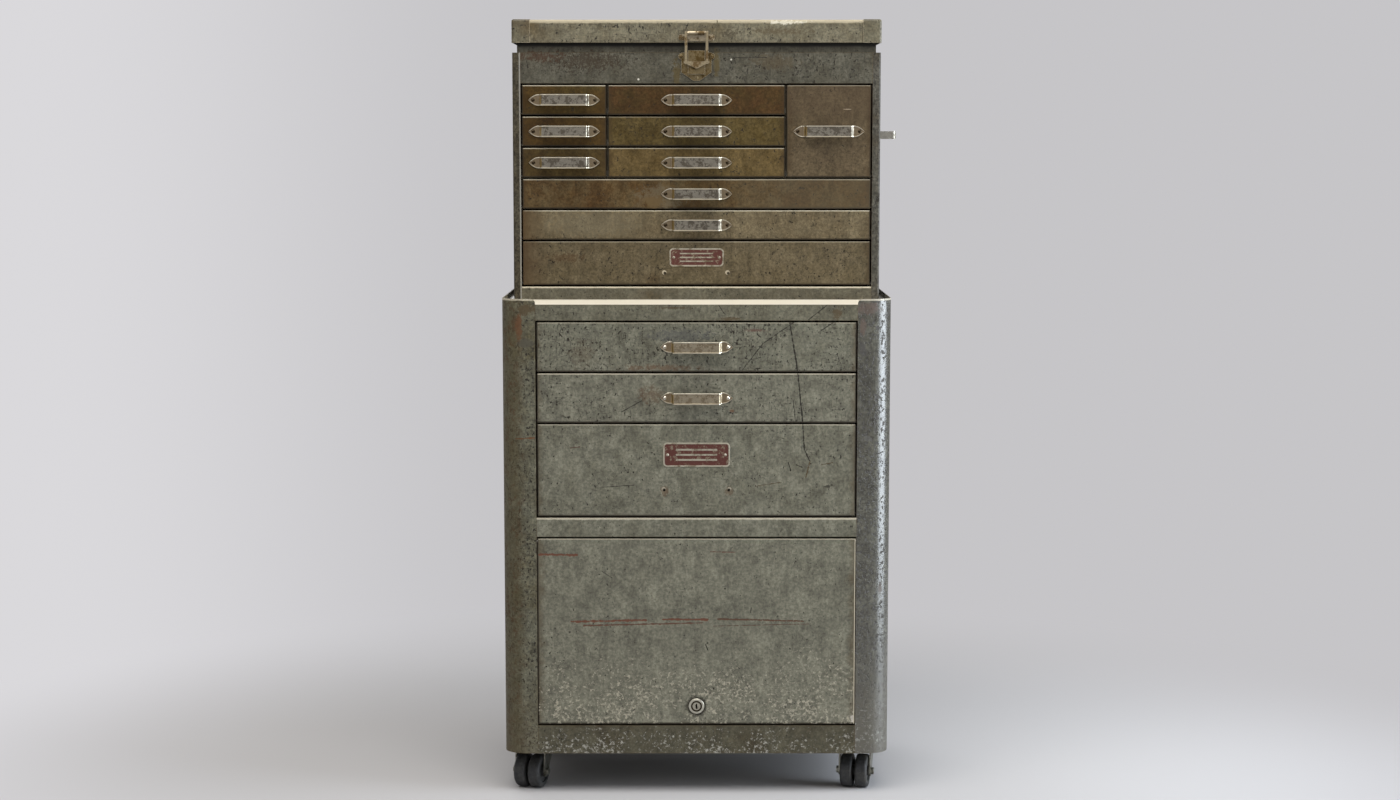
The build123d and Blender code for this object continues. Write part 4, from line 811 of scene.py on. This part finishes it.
def pull_parts():
    """A strap as points (along, out, up) with faces and a rim mask. Half heights are constant
    up to the foot and then fall as 1 minus the square of the share of the foot passed; across
    the strap the outer skin is high within the rim's breadth of an edge and low between."""
    half, half_out = pull_path()
    path = np.concatenate([half[::-1] * (-1, 1), half[1:]])
    out = np.concatenate([half_out[::-1] * (-1, 1), half_out[1:]])
    passed = np.clip((np.abs(path[:, 0]) - FOOT_START) / (FOOT_END - FOOT_START), 0, 1)
    high = STRAP_HALF_HEIGHT * (1 - passed ** 2) + TIP_HALF_HEIGHT
    inset = np.array([0.0, RIM_ROUNDING, RIM_BREADTH, RIM_BREADTH + RIM_SLOPE])
    sunk = np.array([RIM_ROUNDING, 0.0, 0.0, RIM_RISE])
    shrink = np.clip(high / (2 * inset[-1]), 0, 1)[:, None]
    upper = high[:, None] - inset * shrink
    middle = upper[:, 3:] * (0.5, 0.0, -0.5)
    up = np.concatenate([-upper, -middle, upper[:, ::-1]], axis=1)
    depth = np.concatenate([sunk, np.full(3, RIM_RISE), sunk[::-1]]) * shrink
    across_mask = np.array([ON_RIM] * 3 + [IN_MIDDLE] * 5 + [ON_RIM] * 3 + [ON_BACK] * 2 + [ON_RIM])
    skin = path[:, None, :] - out[:, None, :] * depth[:, :, None]
    outer = np.concatenate([skin, up[:, :, None]], axis=2)
    back = np.repeat((path - out * PULL_SHEET)[:, None, :], 2, axis=1)
    inner = np.concatenate([back, np.stack([high, -high], axis=1)[:, :, None]], axis=2)
    loop = np.concatenate([outer, inner, outer[:, :1]], axis=1)
    return loop.reshape(-1, 3), grid_faces(*loop.shape[:2]), np.tile(across_mask, len(path))


def dome_parts(at, radius, rise, slot_depth):
    """A domed disc: a square grid is pressed into a disc, its height falls with the square of
    the distance from the middle, and the narrow band across it is sunk as the screw's slot."""
    half = np.array([SLOT_SHARE, SLOT_SHARE + 0.01, 0.3, 0.55, 0.8, 1.0])
    side = np.concatenate([-half[::-1], half])
    u, v = np.meshgrid(side, side, indexing="ij")
    along = u * np.sqrt(1 - v ** 2 / 2)
    up = v * np.sqrt(1 - u ** 2 / 2)
    out = rise * (1 - (along ** 2 + up ** 2)) - slot_depth * (np.abs(u) <= SLOT_SHARE)
    turned = np.radians(SLOT_TURN)
    across = along * np.cos(turned) - up * np.sin(turned)
    upright = along * np.sin(turned) + up * np.cos(turned)
    points = np.stack([at[0] + radius * across, at[1] + out, at[2] + radius * upright], axis=-1)
    faces = grid_faces(len(side), len(side))[:, ::-1]
    return points.reshape(-1, 3), faces, np.full(side.size ** 2, ON_SCREW)


def join_parts(*parts):
    """Several lists of points, faces and masks as one."""
    shifts = np.cumsum([0] + [len(part[0]) for part in parts[:-1]])
    return (np.concatenate([part[0] for part in parts]),
            np.concatenate([part[1] + shift for part, shift in zip(parts, shifts)]),
            np.concatenate([part[2] for part in parts]))


def trim_piece(name, parts, middle, face):
    """A piece from points (along, out, up) laid on a front face, with its mask as "rim" and the
    place of its middle at every point as "trim_middle"."""
    points, faces, mask = parts
    placed = np.stack([middle[0] + points[:, 0], face - points[:, 1], middle[1] + points[:, 2]], axis=1)
    mesh = bpy.data.meshes.new(name)
    mesh.from_pydata(placed.tolist(), [], faces.tolist())
    rim = mesh.attributes.new("rim", "FLOAT", "POINT")
    rim.data.foreach_set("value", mask.astype(np.float32))
    centres = np.tile(np.array([middle[0], face, middle[1]], dtype=np.float32), len(points))
    middles = mesh.attributes.new("trim_middle", "FLOAT_VECTOR", "POINT")
    middles.data.foreach_set("vector", centres)
    mesh.shade_smooth()
    mesh.set_sharp_from_angle(angle=math.radians(38))
    mesh.update()
    piece = bpy.data.objects.new(name, mesh)
    bpy.context.scene.collection.objects.link(piece)
    return piece


class Pull(Plate):
    """Nickel plate on a pull: the "rim" mask is bright, a screw is its own tone, and between the rims the
    plate has gone to the worn colour with dark eaten patches. Faces turned to the left carry a painted
    golden reflection."""

    def __init__(self, name, worn, eaten, screw):
        super().__init__(name, worn, 0.30, eaten)
        rim = self.node("Attribute", {}, out="Fac", attribute_name="rim")
        lost = self.fade(self.clouds(0.0110, 5.0, 0.80), 0.47, 0.56)
        self.over(self.times(lost, 0.75), eaten, 0.55)
        # Faces turned to the left get a golden tint: painted reflection.
        turned_left = self.parts(self.node("NewGeometry", {}, out="Normal"))[0]
        golden_reflection = self.fade(turned_left, -0.25, -0.70)
        self.over(self.times(golden_reflection, 0.8), (0.42, 0.29, 0.10), 0.3)
        self.over(self.fade(rim, 0.6, 0.95), (0.74, 0.68, 0.54), 0.28)
        middle = self.node("Attribute", {}, out="Vector", attribute_name="trim_middle")
        from_middle = self.parts(self.vector("SUBTRACT", self.here, middle))[0]
        from_middle = self.calc("ABSOLUTE", from_middle)
        foot = self.fade(from_middle, STRAP_HALF_LENGTH + 0.0010, STRAP_HALF_LENGTH + 0.0025)
        foot = self.times(foot, self.fade(rim, 0.6, 0.4))
        self.over(self.times(foot, 0.85), (0.26, 0.20, 0.125), 0.4)
        screwed = self.times(self.fade(rim, ON_SCREW - 0.15, ON_SCREW - 0.08),
                             self.fade(rim, ON_SCREW + 0.10, ON_SCREW + 0.02))
        self.over(screwed, screw, 0.35)


CHEST_PULL = Pull("chest_pull_plate", (0.30, 0.275, 0.225), (0.050, 0.038, 0.026),
                  (0.035, 0.026, 0.016))
CABINET_PULL = Pull("cabinet_pull_plate", (0.40, 0.345, 0.25), (0.160, 0.122, 0.074),
                    (0.60, 0.57, 0.50))
SCREW_FOOT = PULL_SHEET - RIM_RISE
screws = [dome_parts((side * SCREW_AT, SCREW_FOOT, 0.0), SCREW_HEAD, SCREW_RISE, SLOT_DEPTH)
          for side in (-1, 1)]
pull_form = join_parts(pull_parts(), *screws)
pull_nodes = [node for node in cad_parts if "_pull_" in node]
for node in pull_nodes:
    low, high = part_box(node)
    middle = ((low.x + high.x) / 2, (low.z + high.z) / 2)
    piece = trim_piece(node + "_look", pull_form, middle, low.y + PULL_REACH)
    plate = CABINET_PULL if node.startswith("cabinet") else CHEST_PULL
    piece.data.materials.append(plate.material)
    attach(piece, node.replace("_pull_", "_drawer_"))
    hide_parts(node)
CHEST_PULL.dress(relief=0.0003)
CABINET_PULL.dress(relief=0.0003)

# ---------------------------- the badges
# Two thin stamped plates on the deep drawers, held by a rivet at each end: a pale raised rim
# round a dark red field with three plain ribs. Each ring is an inset, a height and a mask.

BADGE_CORNER = 0.007
BADGE_RINGS = ((0.0, 0.0, ON_RIM), (0.0, 0.0008, ON_RIM), (0.0004, 0.0012, ON_RIM),
               (0.0024, 0.0012, ON_RIM), (0.0028, 0.0007, IN_MIDDLE))
FIELD_HEIGHT = 0.0006
RIB_HEIGHT = 0.0012
RIB_LEVELS = (-0.42, 0.0, 0.42)
RIB_LENGTH_SHARE = 0.62
RIB_BREADTH_SHARE = 0.07
RIVET_INSET = 0.008
RIVET_RADIUS = 0.0026
RIVET_RISE = 0.0014
NEARLY_CLOSED = (0.02, 1, 0.02)


def rounded_ring(half_x, half_z, corner, out, steps=8):
    """Points round an oblong with round corners, at one height over the face."""
    turns = np.radians(np.linspace(0, 90, steps))
    across, upright = half_x - corner, half_z - corner
    ring = []
    for x, z, turn in ((across, upright, 0), (-across, upright, 90),
                       (-across, -upright, 180), (across, -upright, 270)):
        angle = turns + math.radians(turn)
        ring.append(np.stack([x + corner * np.cos(angle), np.full(steps, out),
                              z + corner * np.sin(angle)], axis=1))
    return np.concatenate(ring + [ring[0][:1]])


def badge_parts(half_x, half_z):
    """The plate as rings: each is the outline moved in by an inset, at its own height; the last
    is shrunk to the middle. Ribs are low blocks, rivets are domes."""
    rings = [rounded_ring(half_x - inset, half_z - inset, BADGE_CORNER - inset, out)
             for inset, out, _ in BADGE_RINGS]
    rings.append(rings[-1] * NEARLY_CLOSED)
    masks = np.repeat([mask for _, _, mask in BADGE_RINGS] + [IN_MIDDLE], len(rings[0]))
    parts = [(np.concatenate(rings), grid_faces(len(rings), len(rings[0])), masks)]
    breadth = half_z * RIB_BREADTH_SHARE
    foot = rounded_ring(half_x * RIB_LENGTH_SHARE, breadth, breadth * 0.9, FIELD_HEIGHT, 4)
    top = foot * (1, 0, 1) + (0, RIB_HEIGHT, 0)
    rib = np.concatenate([foot, top, top * NEARLY_CLOSED])
    for level in RIB_LEVELS:
        lifted = rib + (0, 0, level * half_z)
        parts.append((lifted, grid_faces(3, len(foot)), np.full(len(rib), ON_RIM)))
    for side in (-1, 1):
        rivet_at = (side * (half_x - RIVET_INSET), FIELD_HEIGHT, 0.0)
        parts.append(dome_parts(rivet_at, RIVET_RADIUS, RIVET_RISE, 0.0))
    return join_parts(*parts)


badge = Metal("badge_plate", (0.36, 0.33, 0.26), (0.13, 0.10, 0.06), 0.45)
rim = badge.node("Attribute", {}, out="Fac", attribute_name="rim")
field = badge.fade(rim, 0.2, 0.1)
badge.metal = 0.2
badge.over(field, (0.085, 0.024, 0.017), 0.45)
chips = badge.fade(badge.clouds(0.007, 5.0, 0.85), 0.55, 0.60)
badge.over(badge.times(field, chips), (0.20, 0.16, 0.11), 0.5)
badge.dress(relief=0.0002)
for node, height, half_x, half_z in (("chest_drawer_deep", 0.953, 0.049, 0.0165),
                                     ("cabinet_drawer_deep", 0.612, 0.059, 0.0215)):
    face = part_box(node)[0].y
    piece = trim_piece(node + "_badge", badge_parts(half_x, half_z), (MIDDLE_X, height), face)
    piece.data.materials.append(badge.material)
    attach(piece, node)

# ---------------------------- the lid
# A drawn steel lid over the till with its skirt hanging outside the neck, thin metal caps on
# the four corners, and a long two-leaf hinge along the back edge.

LID_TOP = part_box("lid_shell")[1].z
lid = Coat("lid_paint", (0.148, 0.134, 0.092), (0.106, 0.092, 0.058), (0.078, 0.058, 0.028),
           0.42, 0.34, 0.6)
lid.only_front("lid_shell", 0.006)
# A pale band along the lid's top front edge: worn metal with a painted highlight.
lid.across(2, LID_TOP - 0.0075, LID_TOP - 0.0035, (0.46, 0.40, 0.28), 0.85, 0.016)
lid.scratch((35, 1338), (37, 1375), 0.0012, (0.085, 0.072, 0.040))
lid.blot((60, 1352), (16, 8), (0.052, 0.042, 0.024), 0.8)
lid.blot((148, 1356), (44, 5), (0.085, 0.066, 0.036), 0.9)
lid.blot((160, 1372), (34, 3), (0.66, 0.62, 0.50), 0.9)
lid.worn_edges((0.10, 0.075, 0.04), 0.0025, 0.3)
lid.dress("lid_shell")
caps = Coat("lid_cap_paint", (0.138, 0.126, 0.086), (0.100, 0.088, 0.056), (0.080, 0.060, 0.032),
            0.42, 0.24)
caps.worn_edges((0.40, 0.34, 0.24), 0.002, 0.45, 0.4)
caps.dress("lid_corner_caps")
leaf = Metal("hinge_steel", (0.34, 0.32, 0.28), (0.07, 0.045, 0.028), 0.5)
leaf.dress("chest_hinge_leaf", "lid_hinge_leaf", relief=0.0003)

# ---------------------------- the latch
# A hasp loop hangs from a curled plate on the lid and drops round a raised keeper on the
# till front. Plated steel, the plate gone brown and golden with rust.

plate = Plate("latch_lid_plate_finish", (0.40, 0.34, 0.24), 0.55, (0.11, 0.075, 0.035))
plate.worn_edges((0.70, 0.63, 0.48), 0.0012, 0.4, 0.3)
plate.dress("latch_lid_plate", relief=0.00025)
plate = Plate("hasp_finish", (0.40, 0.33, 0.21), 0.50, (0.13, 0.088, 0.042))
plate.worn_edges((0.80, 0.72, 0.55), 0.0009, 0.34, 0.25)
plate.dress("latch_hasp", relief=0.00025)
plate = Plate("keeper_finish", (0.22, 0.17, 0.09), 0.55, (0.085, 0.055, 0.020))
plate.worn_edges((0.62, 0.55, 0.40), 0.0018, 0.5, 0.3)
plate.dress("latch_base_plate", relief=0.00025)

# ---------------------------- the side handle
# A heavier steel strap bent in the same way as the pulls and plated like them. Its two feet
# are screwed to the right side of the chest.

plate = Plate("side_handle_plate", (0.40, 0.38, 0.33), 0.45, (0.12, 0.10, 0.07))
plate.worn_edges((0.80, 0.77, 0.68), 0.0015, 0.5, 0.25)
plate.dress("side_handle", relief=0.00025)

# ---------------------------- the studio
# A pale floor that runs out into the same pale grey all round, a wide soft lamp overhead, one
# behind, and a tall cool window on the right that draws the bright line down the right post.

BACKDROP = (0.565, 0.558, 0.575)
FLOOR_HALF = 40.0
CAMERA_BACK = 4.7186
CAMERA_HEIGHT = 1.156


def paler_left(shader, direction):
    """How bright the backdrop looks along a direction from the camera: plain on the right and
    in the middle, a fifth brighter at the far left."""
    level = shader.vector("NORMALIZE", shader.vector("MULTIPLY", direction, (1.0, 1.0, 0.0)))
    side = shader.parts(level)[0]
    return shader.span(shader.fade(side, -0.06, -0.252), 1.0, 1.24)


world = bpy.data.worlds.new("studio_air")
bpy.context.scene.world = world
world.use_nodes = True
world.node_tree.nodes.clear()
air = Finish(world.node_tree)
path = air.node("LightPath", {}).node.outputs
shown = air.calc("MAXIMUM", path["Is Camera Ray"], path["Is Glossy Ray"])
direction = air.node("TexCoord", {}, out="Generated")
seen = air.node("Background", {"Color": BACKDROP, "Strength": paler_left(air, direction)})
light = air.node("Background", {"Color": (1.0, 0.98, 0.95), "Strength": 0.36})
both = air.node("MixShader", {0: shown, 1: light, 2: seen})
air.send(both, air.tree.nodes.new("ShaderNodeOutputWorld").inputs["Surface"])

corners = [(-FLOOR_HALF, -FLOOR_HALF, 0.0), (FLOOR_HALF, -FLOOR_HALF, 0.0),
           (FLOOR_HALF, FLOOR_HALF, 0.0), (-FLOOR_HALF, FLOOR_HALF, 0.0)]
floor_mesh = bpy.data.meshes.new("floor")
floor_mesh.from_pydata(corners, [], [(0, 1, 2, 3)])
floor = bpy.data.objects.new("floor", floor_mesh)
bpy.context.scene.collection.objects.link(floor)
floor_mat = bpy.data.materials.new("floor_paper")
floor_mat.use_nodes = True
floor_mat.node_tree.nodes.clear()
paper = Finish(floor_mat.node_tree)
reach = paper.vector("LENGTH", paper.place(), out="Value")
far = paper.fade(reach, 0.7, 1.7)
seen = paper.node("LightPath", {}).node.outputs["Is Camera Ray"]
lit = paper.node("BsdfDiffuse", {"Color": (0.47, 0.465, 0.475)})
away = paper.vector("SUBTRACT", paper.place(), (MIDDLE_X, -CAMERA_BACK, CAMERA_HEIGHT))
flat = paper.node("Emission", {"Color": BACKDROP, "Strength": paler_left(paper, away)})
mixed = paper.node("MixShader", {0: paper.times(far, seen), 1: lit, 2: flat})
paper.send(mixed, paper.tree.nodes.new("ShaderNodeOutputMaterial").inputs["Surface"])
floor_mesh.materials.append(floor_mat)


def soft_lamp(name, at, aim, size, power, colour):
    """A rectangular lamp at a point, turned so that it faces the point aim."""
    lamp = bpy.data.lights.new(name, "AREA")
    lamp.shape = "RECTANGLE"
    lamp.size, lamp.size_y = size
    lamp.energy = power
    lamp.color = colour
    holder = bpy.data.objects.new(name, lamp)
    holder.location = at
    holder.rotation_euler = (Vector(aim) - Vector(at)).to_track_quat("-Z", "Y").to_euler()
    bpy.context.scene.collection.objects.link(holder)


soft_lamp("overhead", (-0.2, -1.5, 3.2), (0.0, 0.0, 0.8), (3.0, 2.2), 94.0, (1.0, 0.97, 0.92))
soft_lamp("window", (2.5, -0.65, 1.0), (0.2, -0.1, 0.75), (1.6, 2.2), 98.0, (0.83, 0.91, 1.0))
soft_lamp("rear", (-1.6, 3.6, 2.4), (0.0, 0.0, 0.7), (2.6, 2.2), 60.0, (1.0, 1.0, 1.0))

CAMERA_TILT = 6.92
camera = bpy.data.cameras.new("camera")
camera.lens = 66.09
camera.sensor_width = 36.0
camera.shift_x = 0.0025
camera.shift_y = 0.04
stand = bpy.data.objects.new("camera", camera)
stand.location = (MIDDLE_X, -CAMERA_BACK, CAMERA_HEIGHT)
stand.rotation_euler = (math.radians(90 - CAMERA_TILT), 0.0, 0.0)
bpy.context.scene.collection.objects.link(stand)
bpy.context.scene.camera = stand
bpy.context.scene.view_settings.view_transform = "Standard"
